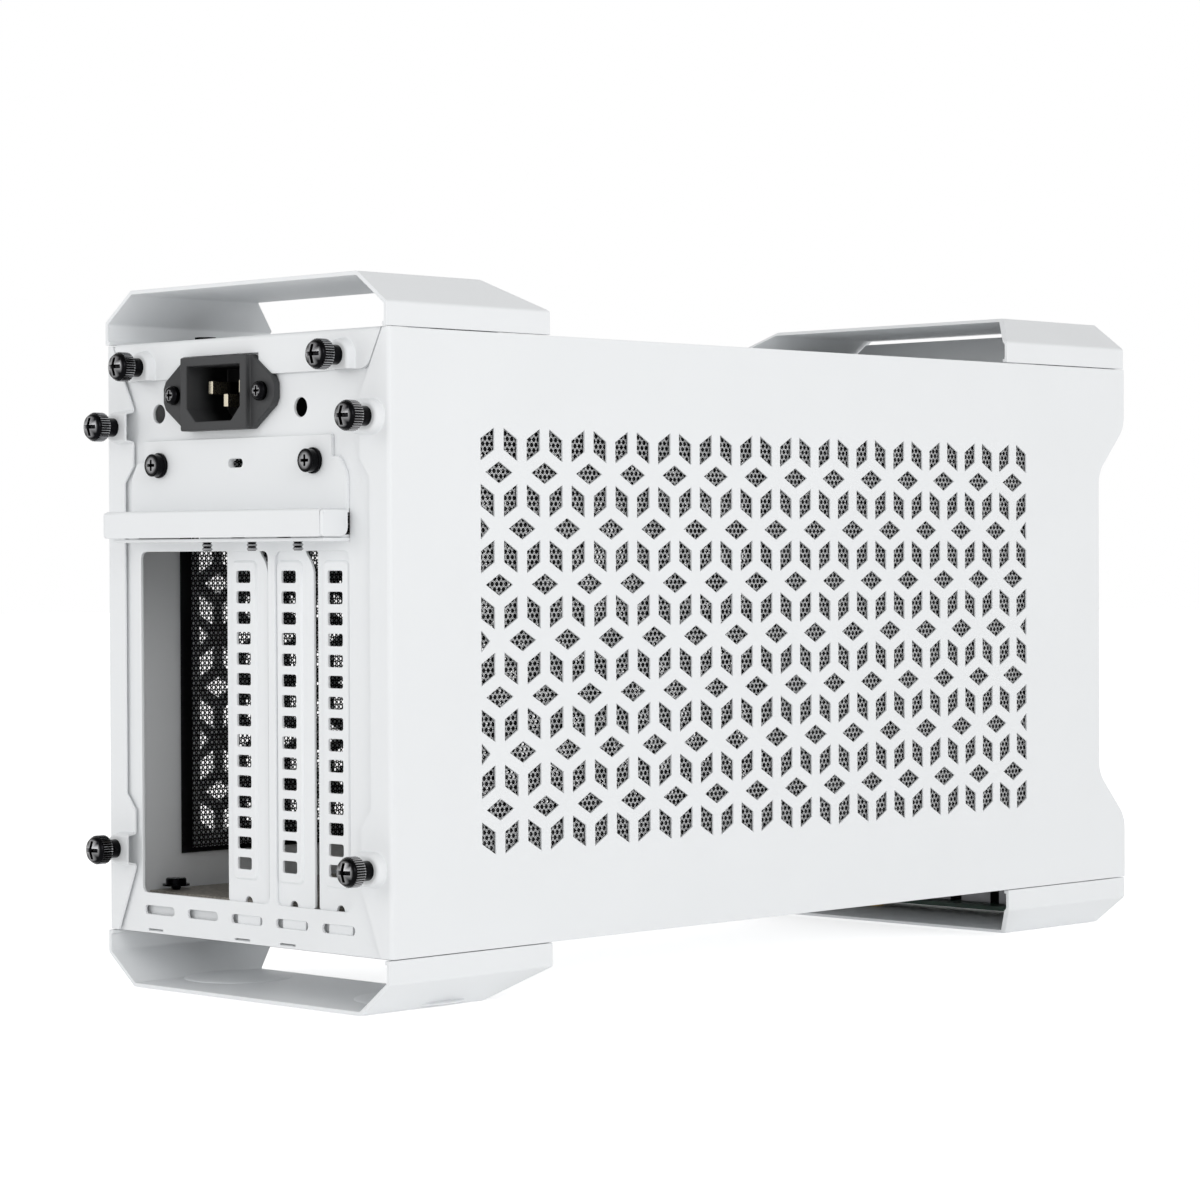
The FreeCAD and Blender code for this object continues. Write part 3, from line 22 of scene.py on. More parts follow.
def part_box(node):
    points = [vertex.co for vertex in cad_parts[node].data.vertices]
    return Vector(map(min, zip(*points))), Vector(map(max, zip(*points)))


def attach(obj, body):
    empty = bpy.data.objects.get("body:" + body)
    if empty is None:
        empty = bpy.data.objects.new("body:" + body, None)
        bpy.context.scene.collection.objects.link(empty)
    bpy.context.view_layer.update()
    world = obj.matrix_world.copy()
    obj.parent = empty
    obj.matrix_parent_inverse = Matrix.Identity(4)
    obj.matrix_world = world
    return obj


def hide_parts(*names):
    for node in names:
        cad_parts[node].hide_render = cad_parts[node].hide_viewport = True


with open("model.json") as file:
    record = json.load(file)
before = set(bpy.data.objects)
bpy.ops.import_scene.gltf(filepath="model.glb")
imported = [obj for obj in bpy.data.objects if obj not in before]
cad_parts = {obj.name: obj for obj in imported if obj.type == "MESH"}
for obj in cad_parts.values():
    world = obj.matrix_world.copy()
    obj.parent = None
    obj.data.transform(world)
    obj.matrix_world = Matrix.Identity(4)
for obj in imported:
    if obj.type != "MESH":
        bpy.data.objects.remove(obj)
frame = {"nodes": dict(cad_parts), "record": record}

LOG = logging.getLogger("case")
MM = 0.001
# Stops of every ramp: painted light up to the first shows a finish's tone as painted shade, from the second
# its lit tone as painted highlight.
RAMP = (0.3, 0.7)
# Vertex attribute of painted light, its level on plain faces and the painted glint at a cross recess's
# mouth.
PAINTED_LIGHT = "painted_light"
PLAIN_PAINTED_LIGHT = 0.2
EDGE_GLINT = 0.6
GRAIN_DETAIL = 3.0
# Distances in mm within which vertices are merged.
NODE_WELD, SHEET_WELD, MESH_WELD = 0.002, 0.005, 0.01
TURNED_SMOOTH = 32.0
# Share of an arch's half width at which its rounds start, just short of meeting.
ARCH_ROUND = 0.99
# Cross recess: width of its floor by that of its mouth.
CROSS_TAPER = 0.72
# Pan head: share of its radius and of its height at each ring.
PAN_RINGS = ((1.0, 0.0), (1.0, 0.45), (0.93, 0.72), (0.76, 0.92), (0.62, 1.0))
REARWARD = Vector((0.0, 1.0, 0.0))
UPWARD = Vector((0.0, 0.0, 1.0))
# X of the inlet's and of the hood's middle, then height, width, height and corner of the key slot.
INLET_X = 9.8
HOOD_X = 3.5
KEY_SLOT = (157.9, 6.6, 2.6, 1.2)
Colour = tuple[float, float, float]
Point = tuple[float, float]


class Body(str, Enum):
    """Moving groups that a piece can ride on."""

    CHASSIS = "chassis"
    TOP = "top_cover_set"
    LEFT = "side_left"
    RIGHT = "side_right"


class Side(Enum):
    """The two side panels, by the sign of X."""

    LEFT = -1
    RIGHT = 1

    @property
    def label(self) -> str:
        """Word used in names."""
        return self.name.lower()

    @property
    def body(self) -> Body:
        """Group that slides with this panel."""
        return Body.LEFT if self is Side.LEFT else Body.RIGHT


class Pitch(Enum):
    """Which way a pair of upright openings leans."""

    ROOF = 1
    VALLEY = -1


# Finishes


class Shading:
    """One material and the short calls that fill its node tree."""

    def __init__(self, name: str) -> None:
        """Start from an empty principled surface.

        Args:
            name: Name of the material.
        """
        self.material = bpy.data.materials.new(name)
        self.material.use_nodes = True
        self.tree = self.material.node_tree
        self.surface = self.tree.nodes["Principled BSDF"]
        self.place = self.tree.nodes.new("ShaderNodeTexCoord").outputs["Object"]

    def node(self, kind: str, **values: object) -> Node:
        """Add a node and set its inputs.

        Args:
            kind: Node type.
            values: Input values, with spaces in names given as underscores.

        Returns:
            The new node.
        """
        node = self.tree.nodes.new(kind)
        for key, value in values.items():
            node.inputs[key.replace("_", " ")].default_value = value
        return node

    def join(self, source: NodeSocket, target: NodeSocket) -> None:
        """Link two sockets."""
        self.tree.links.new(source, target)

    def noise(self, size: float, detail: float = 2.0) -> NodeSocket:
        """Noise fixed to the piece.

        Args:
            size: Size of one spot, mm.
            detail: Number of finer layers.

        Returns:
            Its grey value.
        """
        noise = self.node("ShaderNodeTexNoise", Scale=1.0 / (size * MM), Detail=detail)
        self.join(self.place, noise.inputs["Vector"])
        return noise.outputs["Fac"]

    def ramp(self, value: NodeSocket, low: float, high: float, target: str) -> None:
        """Send a grey value, stretched to a range, to one input of the surface.

        Args:
            value: Grey value.
            low: Result at the ramp's first stop.
            high: Result at its second stop.
            target: Name of the input.
        """
        start, end = RAMP
        spread = self.node("ShaderNodeMapRange", From_Min=start, From_Max=end, To_Min=low, To_Max=high)
        self.join(value, spread.inputs["Value"])
        self.join(spread.outputs["Result"], self.surface.inputs[target])

    def blend(self, value: NodeSocket, low: Colour, high: Colour) -> None:
        """Colour the surface between two tones.

        Args:
            value: Grey value.
            low: Tone at the ramp's first stop.
            high: Tone at its second stop.
        """
        ramp = self.node("ShaderNodeValToRGB")
        for stop, at, tone in zip(ramp.color_ramp.elements, RAMP, (low, high)):
            stop.position = at
            stop.color = (*tone, 1.0)
        self.join(value, ramp.inputs["Fac"])
        self.join(ramp.outputs["Color"], self.surface.inputs["Base Color"])

    def grain(self, value: NodeSocket, depth: float) -> None:
        """Raise the surface by a grey value.

        Args:
            value: Grey value.
            depth: Height of the relief, mm.
        """
        bump = self.node("ShaderNodeBump", Strength=1.0, Distance=depth * MM)
        self.join(value, bump.inputs["Height"])
        self.join(bump.outputs["Normal"], self.surface.inputs["Normal"])


def shade(tone: Colour, share: float) -> Colour:
    """Colour scaled by a factor."""
    return (tone[0] * share, tone[1] * share, tone[2] * share)


@dataclass(frozen=True)
class Finish:
    """Paint, plastic or metal with a fine grain and slightly uneven tone.

    Attributes:
        name: Name of the material, the record's slot where it has one.
        tone: Linear colour.
        roughness: Mean roughness.
        metallic: 1 for bare metal.
        uneven: Share by which the tone varies.
        patch: Size of the uneven patches, mm.
        grain: Size of the surface grain, mm.
        relief: Depth of the grain, mm.
        gloss: Strength of the mirror part of paint and plastic, 0.5 for a usual one.
        lit_tone: Painted highlight, the tone where the piece's painted light passes the ramp's second stop,
            with the tone below the first as painted shade, or None for an even finish.
        spread: How far the roughness varies.
    """

    name: str
    tone: Colour
    roughness: float
    metallic: float = 0.0
    uneven: float = 0.03
    patch: float = 30.0
    grain: float = 0.5
    relief: float = 0.004
    gloss: float = 0.5
    lit_tone: Colour | None = None
    spread: float = 0.06

    def material(self) -> Material:
        """Build the node tree.

        Returns:
            The finished material.
        """
        shading = Shading(self.name)
        shading.surface.inputs["Metallic"].default_value = self.metallic
        shading.surface.inputs["Specular IOR Level"].default_value = self.gloss
        # Painted light: a vertex attribute blends the dark tone, painted shade, into the lit tone, painted
        # highlight.
        if self.lit_tone:
            painted_light = shading.node("ShaderNodeAttribute")
            painted_light.attribute_name = PAINTED_LIGHT
            shading.blend(painted_light.outputs["Fac"], self.tone, self.lit_tone)
        else:
            cloud = shading.noise(self.patch)
            shading.blend(cloud, shade(self.tone, 1.0 - self.uneven), shade(self.tone, 1.0 + self.uneven))
        fine = shading.noise(self.grain, GRAIN_DETAIL)
        shading.ramp(fine, self.roughness - self.spread, self.roughness + self.spread, "Roughness")
        shading.grain(fine, self.relief)
        return shading.material


FINISHES = (
    Finish("white_coat", (0.844, 0.86, 0.872), 0.45, uneven=0.006, grain=0.55, relief=0.003),
    Finish("black_plastic", (0.02, 0.021, 0.022), 0.5, uneven=0.15, grain=0.3, relief=0.02, gloss=0.4),
    # Black steel: dark tone for painted shade, lit tone for painted highlights and glints on screws.
    Finish("black_steel", (0.008, 0.008, 0.009), 0.22, 1.0, grain=0.3, relief=0.003,
           lit_tone=(0.42, 0.42, 0.43)),
    Finish("dust_mesh", (0.012, 0.012, 0.013), 0.5, uneven=0.1, patch=8.0, grain=0.4, gloss=0.2),
    # Pale copy of the black mesh: painted sheen for its lit outer face.
    Finish("mesh_face", (0.76, 0.77, 0.78), 0.45, uneven=0.08, patch=8.0, grain=0.4),
    Finish("bare_steel", (0.40, 0.37, 0.33), 0.5, 0.3, 0.3, 1.2, 0.4, 0.004),
    # Inlet plastic and pin metal: lit tone as painted light at the rear, dark tone as painted shade deeper
    # in the socket.
    Finish("inlet_plastic", (0.003, 0.003, 0.003), 0.5, grain=0.3, relief=0.02, gloss=0.35,
           lit_tone=(0.045, 0.046, 0.048)),
    Finish("pin_metal", (0.012, 0.011, 0.008), 0.3, 1.0, grain=0.3, relief=0.002, lit_tone=(0.72, 0.66, 0.52)),
    Finish("port_shell", (0.22, 0.22, 0.23), 0.35, 1.0, 0.1, 5.0, 0.3, 0.002),
    Finish("post_brass", (0.60, 0.44, 0.20), 0.32, 1.0, 0.06, 6.0, 0.3, 0.002),
    Finish("circuit_board", (0.012, 0.05, 0.03), 0.4, uneven=0.25, patch=6.0, grain=0.6),
)


def node_slots() -> dict[str, str]:
    """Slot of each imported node, from the record."""
    return {part["node"]: part["material_slot"] for part in frame["record"]["subparts"]}


class Palette:
    """All finishes, ready to use by name."""

    def __init__(self, finishes: Iterable[Finish]) -> None:
        """Build every material once."""
        self.materials = {finish.name: finish.material() for finish in finishes}

    def __getitem__(self, name: str) -> Material:
        """Material of that name."""
        return self.materials[name]

    def dress_frame(self) -> None:
        """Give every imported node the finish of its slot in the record."""
        slots = node_slots()
        for name, node in frame["nodes"].items():
            node.data.materials.clear()
            node.data.materials.append(self[slots[name]])


# Shared shapes


@dataclass
class Workshop:
    """Turns a finished bmesh into a piece of the scene.

    Attributes:
        palette: Finishes to choose from.
    """

    palette: Palette

    def place(self, name: str, bm: BMesh, slot: str, body: str,
              replaces: Sequence[str] = (), smooth: float = 40.0, finish: str = "") -> None:
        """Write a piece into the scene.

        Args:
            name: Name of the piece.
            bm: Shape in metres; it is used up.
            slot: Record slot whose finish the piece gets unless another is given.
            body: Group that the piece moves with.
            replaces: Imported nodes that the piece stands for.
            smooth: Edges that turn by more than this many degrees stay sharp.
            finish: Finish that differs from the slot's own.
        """
        mesh = bpy.data.meshes.new(name)
        bm.to_mesh(mesh)
        bm.free()
        mesh.shade_smooth()
        mesh.set_sharp_from_angle(angle=math.radians(smooth))
        mesh.materials.append(self.palette[finish or slot])
        piece = bpy.data.objects.new(name, mesh)
        piece.modifiers.new("even normals", "WEIGHTED_NORMAL").keep_sharp = True
        bpy.context.scene.collection.objects.link(piece)
        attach(piece, str(body))
        if replaces:
            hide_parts(*replaces)
        LOG.info("%s: %d faces", name, len(mesh.polygons))


def extent(name: str) -> tuple[Vector, Vector]:
    """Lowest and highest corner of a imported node, mm."""
    low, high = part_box(name)
    return low / MM, high / MM


def bevel(bm: BMesh, geom: Sequence[BMVert | BMEdge], offset: float, steps: int,
          affect: str = "EDGES") -> None:
    """Round vertices or edges, from an offset in the shape's own unit."""
    bmesh.ops.bevel(bm, geom=geom, offset=offset, offset_type="OFFSET", segments=steps, profile=0.5,
                    affect=affect, clamp_overlap=False, material=-1)


def fill(bm: BMesh, edges: Sequence[BMEdge]) -> None:
    """Fill outlines, leaving those inside another one open."""
    bmesh.ops.triangle_fill(bm, use_beauty=True, use_dissolve=False, edges=edges)


def pick(geom: Iterable[object], kind: type) -> list:
    """Items of one kind from what a bmesh operator returns."""
    return [item for item in geom if isinstance(item, kind)]


def rounded(corners: Sequence[Point], rounds: dict[int, float], steps: int = 5) -> list[Point]:
    """Round some corners of a flat outline.

    Args:
        corners: Outline in mm.
        rounds: Distance from the corner at which its round starts, by corner.
        steps: Segments of each round.

    Returns:
        The outline's points in order.
    """
    bm = bmesh.new()
    verts = [bm.verts.new((x, y, 0.0)) for x, y in corners]
    bm.faces.new(verts)
    for corner, size in rounds.items():
        bevel(bm, [verts[corner]], size, steps, "VERTICES")
    bm.faces.ensure_lookup_table()
    points = [(vert.co.x, vert.co.y) for vert in bm.faces[0].verts]
    bm.free()
    start = min(range(len(points)), key=lambda index: math.dist(points[index], corners[0]))
    return points[start:] + points[:start]


def rectangle(across: float, level: float, wide: float, tall: float, corner: float = 0.0) -> list[Point]:
    """Outline of a rectangle about its centre, with rounded corners where wanted.

    Args:
        across: Centre's first coordinate, mm.
        level: Centre's second coordinate, mm.
        wide: Width, mm.
        tall: Height, mm.
        corner: Radius of its corners, mm.

    Returns:
        The outline's points in order.
    """
    left, right = across - wide / 2.0, across + wide / 2.0
    low, high = level - tall / 2.0, level + tall / 2.0
    corners = [(left, low), (right, low), (right, high), (left, high)]
    return rounded(corners, dict.fromkeys(range(4), corner), 3) if corner else corners


def circle(across: float, level: float, radius: float, sides: int = 24) -> list[Point]:
    """Outline of a round hole, in mm."""
    angles = [math.tau * index / sides for index in range(sides)]
    return [(across + radius * math.cos(angle), level + radius * math.sin(angle)) for angle in angles]


def arch(end: float, foot: float, half: float, spare: float = 20.0) -> list[Point]:
    """Line around a round-ended arch that is cut off at its foot.

    Args:
        end: How far its round end reaches, mm.
        foot: Where it is cut off, mm.
        half: Half its width, mm.
        spare: Length past the foot before the cut, mm.

    Returns:
        Points as (reach, distance to one side).
    """
    beyond = foot + math.copysign(spare, foot - end)
    corners = [(beyond, half), (end, half), (end, -half), (beyond, -half)]
    line = rounded(corners, dict.fromkeys((1, 2), half * ARCH_ROUND))
    cut = min if foot > end else max
    return [(cut(reach, foot), aside) for reach, aside in line]


def lift(depth: float, outline: Iterable[Point], out: float = 0.0) -> list[Vector]:
    """Points in space of an outline in X and Z, on a plane across the case or to its rear, mm."""
    return [Vector((across, depth + out, level)) for across, level in outline]


def sharp_edges(bm: BMesh, angle: float) -> list[BMEdge]:
    """Edges that turn by more than an angle in degrees."""
    limit = math.radians(angle)
    return [edge for edge in bm.edges if edge.is_manifold and edge.calc_face_angle(0.0) > limit]


def soften(bm: BMesh, width: float, steps: int = 1, angle: float = 35.0,
           only: bool | None = None) -> None:
    """Bevel by a width in mm every edge that turns by more than an angle, or only outer or inner ones."""
    edges = [edge for edge in sharp_edges(bm, angle) if only is None or edge.is_convex == only]
    bevel(bm, edges, width * MM, steps)


def copy_node(name: str) -> BMesh:
    """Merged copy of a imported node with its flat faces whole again.

    Args:
        name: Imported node.

    Returns:
        Its shape.
    """
    bm = bmesh.new()
    bm.from_mesh(frame["nodes"][name].data)
    bmesh.ops.remove_doubles(bm, verts=bm.verts, dist=NODE_WELD * MM)
    bmesh.ops.dissolve_limit(bm, angle_limit=math.radians(0.4), use_dissolve_boundaries=False,
                             verts=bm.verts, edges=bm.edges, delimit=set())
    bmesh.ops.recalc_face_normals(bm, faces=bm.faces)
    return bm


class Sheet:
    """Outer skin of a bent sheet, which gets its thickness at the end."""

    def __init__(self, gauge: float) -> None:
        """Start an empty skin of a sheet whose thickness is given in mm."""
        self.bm = bmesh.new()
        self.gauge = gauge

    def loop(self, points: Iterable[Vector], closed: bool = True) -> list[BMEdge]:
        """Draw a line through points.

        Args:
            points: Places in mm.
            closed: Whether the last point joins the first.

        Returns:
            The new edges.
        """
        verts = [self.bm.verts.new(point * MM) for point in points]
        ends = verts[1:] + verts[:1] if closed else verts[1:]
        return [self.bm.edges.new(pair) for pair in zip(verts, ends)]

    def patch(self, loops: Iterable[Iterable[Vector]]) -> None:
        """Fill the first outline, leaving the others as openings."""
        fill(self.bm, [edge for points in loops for edge in self.loop(points)])

    def bend(self, start: Vector, end: Vector, centre: Vector, axis: Vector, steps: int = 5) -> None:
        """Turn the edge between two points by a quarter about an axis through a centre, mm."""
        edge = self.loop((start, end), closed=False)
        bmesh.ops.spin(self.bm, geom=[*edge[0].verts, *edge], cent=centre * MM, axis=axis,
                       angle=math.pi / 2, steps=steps, use_duplicate=False)

    def boss(self, foot: Sequence[Vector], crown: Sequence[Vector]) -> None:
        """Press an arch out of the sheet, open at its end.

        Args:
            foot: Open line where it leaves the sheet, mm.
            crown: Open line of its top, with as many points, mm.
        """
        lower = self.loop(foot, closed=False)
        upper = self.loop(crown, closed=False)
        bmesh.ops.bridge_loops(self.bm, edges=lower + upper)
        rim = [upper[0].verts[0], *(edge.verts[1] for edge in upper)]
        self.bm.faces.new(rim)

    def emboss(self, foot: Sequence[Vector], crown: Sequence[Vector],
               openings: Iterable[Iterable[Vector]] = ()) -> None:
        """Press a closed area out of the sheet, whose patch leaves the foot open.

        Args:
            foot: Outline where it leaves the sheet, mm.
            crown: Outline of its top, with as many points, mm.
            openings: Outlines of holes in its top, mm.
        """
        lower, upper = self.loop(foot), self.loop(crown)
        bmesh.ops.bridge_loops(self.bm, edges=lower + upper)
        fill(self.bm, upper + [edge for points in openings for edge in self.loop(points)])

    def close(self, outward: Vector, ease: float, press: float = 0.9) -> BMesh:
        """Weld the patches, round the pressed shapes and give the sheet its thickness.

        Args:
            outward: Direction that a skin face near it looks in, for the side of the thickness.
            ease: Bevel on the sheet's cut edges, mm.
            press: Width of the rounding of pressed shapes and folds, mm.

        Returns:
            The closed shape.
        """
        bm = self.bm
        bmesh.ops.remove_doubles(bm, verts=bm.verts, dist=SHEET_WELD * MM)
        bmesh.ops.recalc_face_normals(bm, faces=bm.faces)
        biggest = max(bm.faces, key=lambda face: face.calc_area())
        if biggest.normal.dot(outward) < 0.0:
            bmesh.ops.reverse_faces(bm, faces=bm.faces)
        soften(bm, press, 4, only=True)
        soften(bm, press / 3.0, 2, only=False)
        bmesh.ops.solidify(bm, geom=bm.faces, thickness=self.gauge * MM)
        soften(bm, ease)
        bmesh.ops.recalc_face_normals(bm, faces=bm.faces)
        return bm


# Side panels


@dataclass
class RhombField:
    """Openings of the tumbling-block pattern, on the side's own axes.

    Attributes:
        first: Centre of the first roof pair along Y, measured from the rear, mm.
        period: Distance from one pair to the next, mm.
        pairs: Pairs in a row.
        top: Height of the top row's centre above the body's floor, mm.
        pitch: Distance between rows, mm.
        rows: Rows of upright pairs.
        share: Share of each block face that is open.
        near: Rear end of the field from the rear, mm.
        far: Front end of the field from the rear, mm.
    """

    first: float = 42.91
    period: float = 18.607
    pairs: int = 14
    top: float = 146.1
    pitch: float = 16.26
    rows: int = 8
    share: float = 0.59
    near: float = 35.5
    far: float = 292.2

    def upright(self, along: float, level: float, lean: float) -> list[Point]:
        """One upright opening.

        Args:
            along: Its centre from the rear.
            level: Its centre's height.
            lean: 1 if its far side is higher, -1 if lower.

        Returns:
            Its corners.
        """
        wide = self.period / 4.0 * self.share
        half = self.pitch / 3.0 * self.share
        skew = lean * half / 2.0
        return [(along - wide, level - half - skew), (along + wide, level - half + skew),
                (along + wide, level + half + skew), (along - wide, level + half - skew)]

    def lozenge(self, along: float, level: float) -> list[Point]:
        """One flat opening, cut off at the ends of the field.

        Args:
            along: Its centre from the rear.
            level: Its centre's height.

        Returns:
            Its corners.
        """
        wide = self.period / 2.0 * self.share
        half = self.pitch / 3.0 * self.share
        if along - wide < self.near:
            return [(self.near, level - half), (along + wide, level), (self.near, level + half)]
        if along + wide > self.far:
            return [(self.far, level + half), (along - wide, level), (self.far, level - half)]
        return [(along - wide, level), (along, level - half), (along + wide, level), (along, level + half)]

    def openings(self) -> list[list[Point]]:
        """All openings, as outlines of (distance from the rear, height above the body's floor)."""
        outlines = []
        for row in range(self.rows):
            level = self.top - row * self.pitch
            pitch = Pitch.VALLEY if row % 2 else Pitch.ROOF
            for pair in range(self.pairs):
                centre = self.first + pair * self.period
                for hand in (-1, 1):
                    along = centre + hand * self.period / 4.0
                    outlines.append(self.upright(along, level, -hand * pitch.value))
            if row < self.rows - 1:
                shift = 0.5 if row % 2 else 0.0
                for pair in range(self.pairs + (row % 2)):
                    centre = self.first + (pair - shift) * self.period
                    outlines.append(self.lozenge(centre, level - self.pitch / 2.0))
        return outlines


@dataclass
class SidePanel:
    """Folded panel with the rhomb field, its rear flange and the arches for the thumbscrews.

    Attributes:
        side: Which panel.
        half: Outer face from the middle, mm.
        base: Floor of the body, from which the openings are measured, mm.
        floor: Lower edge of the panel, mm.
        top: Upper edge of the panel, mm.
        rear: Outer face of the flange, mm.
        front: Front edge above and below the waist, mm.
        waist: Front edge at the waist, mm.
        skin: Thickness at the openings, whose edges are coined thinner, mm.
        bend: Outer radius of the fold, mm.
        upper: Height of the upper thumbscrew, mm.
        lower: Height of the lower thumbscrew, mm.
        axis: Thumbscrew's distance from the outer face, mm.
        arch: Half width of an arch, mm.
        rise: Height of an arch, mm.
        slope: How far an arch's crown lies inside its foot, mm.
        levels: Heights of the waist's four corners, mm.
        curve: Distance from a waist corner at which its round starts, mm.
        ends: Width of the flange at the top and at the floor, mm.
        widths: Width of the flange at the arches and between them, mm.
        steps: Distance from an arch's axis to the flange's corners, going away from it, mm.
        pattern: Openings.
    """

    side: Side
    half: float = 64.0
    base: float = 16.5
    floor: float = 16.8
    top: float = 194.8
    rear: float = 168.0
    front: float = -180.5
    waist: float = -165.6
    skin: float = 0.7
    bend: float = 1.4
    upper: float = 169.8
    lower: float = 41.8
    axis: float = 6.8
    arch: float = 5.0
    rise: float = 3.0
    slope: float = 0.5
    levels: tuple[float, float, float, float] = (174.5, 158.5, 54.0, 38.0)
    curve: float = 3.5
    ends: Point = (2.9, 4.5)
    widths: Point = (12.7, 8.5)
    steps: tuple[float, float, float] = (5.8, 11.9, 16.9)
    pattern: RhombField = field(default_factory=RhombField)

    def face_point(self, along: float, level: float) -> Vector:
        """Point of the flat face from its Y and Z."""
        return Vector((self.side.value * self.half, along, level))

    def flange_point(self, depth: float, level: float, out: float = 0.0) -> Vector:
        """Point of the flange from its distance to the outer face and its height."""
        return Vector((self.side.value * (self.half - depth), self.rear + out, level))

    def face_outline(self) -> list[Point]:
        """Outline of the flat face in Y and Z, with the waist's rounded corners."""
        rear, front, waist = self.rear - self.bend, self.front, self.waist
        first, second, third, fourth = self.levels
        corners = [(rear, self.floor), (rear, self.top), (front, self.top), (front, first),
                   (waist, second), (waist, third), (front, fourth), (front, self.floor)]
        return rounded(corners, dict.fromkeys(range(3, 7), self.curve))

    def arch_line(self, level: float, inset: float) -> list[Point]:
        """Line around the arch at a height, downwards, as (distance from the outer face, height)."""
        half = self.arch - inset
        return [(depth, level + aside) for depth, aside in arch(self.axis - half, self.widths[0], half)]

    def flange_outline(self) -> list[Point]:
        """Outline of the flange with a gap at each arch."""
        wide, narrow = self.widths
        near, far, past = self.steps
        points = [(self.bend, self.floor), (self.bend, self.top), (self.ends[0], self.top),
                  (wide, self.upper + near)]
        points += self.arch_line(self.upper, 0.0)
        points += [(wide, self.upper - far), (narrow, self.upper - past), (narrow, self.lower + past),
                   (wide, self.lower + far)]
        points += self.arch_line(self.lower, 0.0)
        points += [(wide, self.lower - near), (self.ends[1], self.floor)]
        return points

    def build(self, shop: Workshop) -> None:
        """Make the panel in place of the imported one."""
        sheet = Sheet(self.skin)
        loops = [[self.face_point(*point) for point in self.face_outline()]]
        for outline in self.pattern.openings():
            places = [(self.rear - along, self.base + level) for along, level in outline]
            loops.append([self.face_point(*place) for place in places])
        sheet.patch(loops)
        sheet.patch([[self.flange_point(*point) for point in self.flange_outline()]])
        start = self.face_point(self.rear - self.bend, self.floor)
        end = self.face_point(self.rear - self.bend, self.top)
        centre = Vector((self.side.value * (self.half - self.bend), self.rear - self.bend, 0.0))
        sheet.bend(start, end, centre, Vector((0.0, 0.0, self.side.value)))
        for level in (self.upper, self.lower):
            foot = [self.flange_point(*point) for point in self.arch_line(level, 0.0)]
            crown = [self.flange_point(*point, self.rise) for point in self.arch_line(level, self.slope)]
            sheet.boss(foot, crown)
        bm = sheet.close(Vector((self.side.value, 0.0, 0.0)), ease=0.1)
        name = f"side_panel_{self.side.label}"
        shop.place(f"skin_{name}", bm, "white_coat", self.side.body.value, [name])


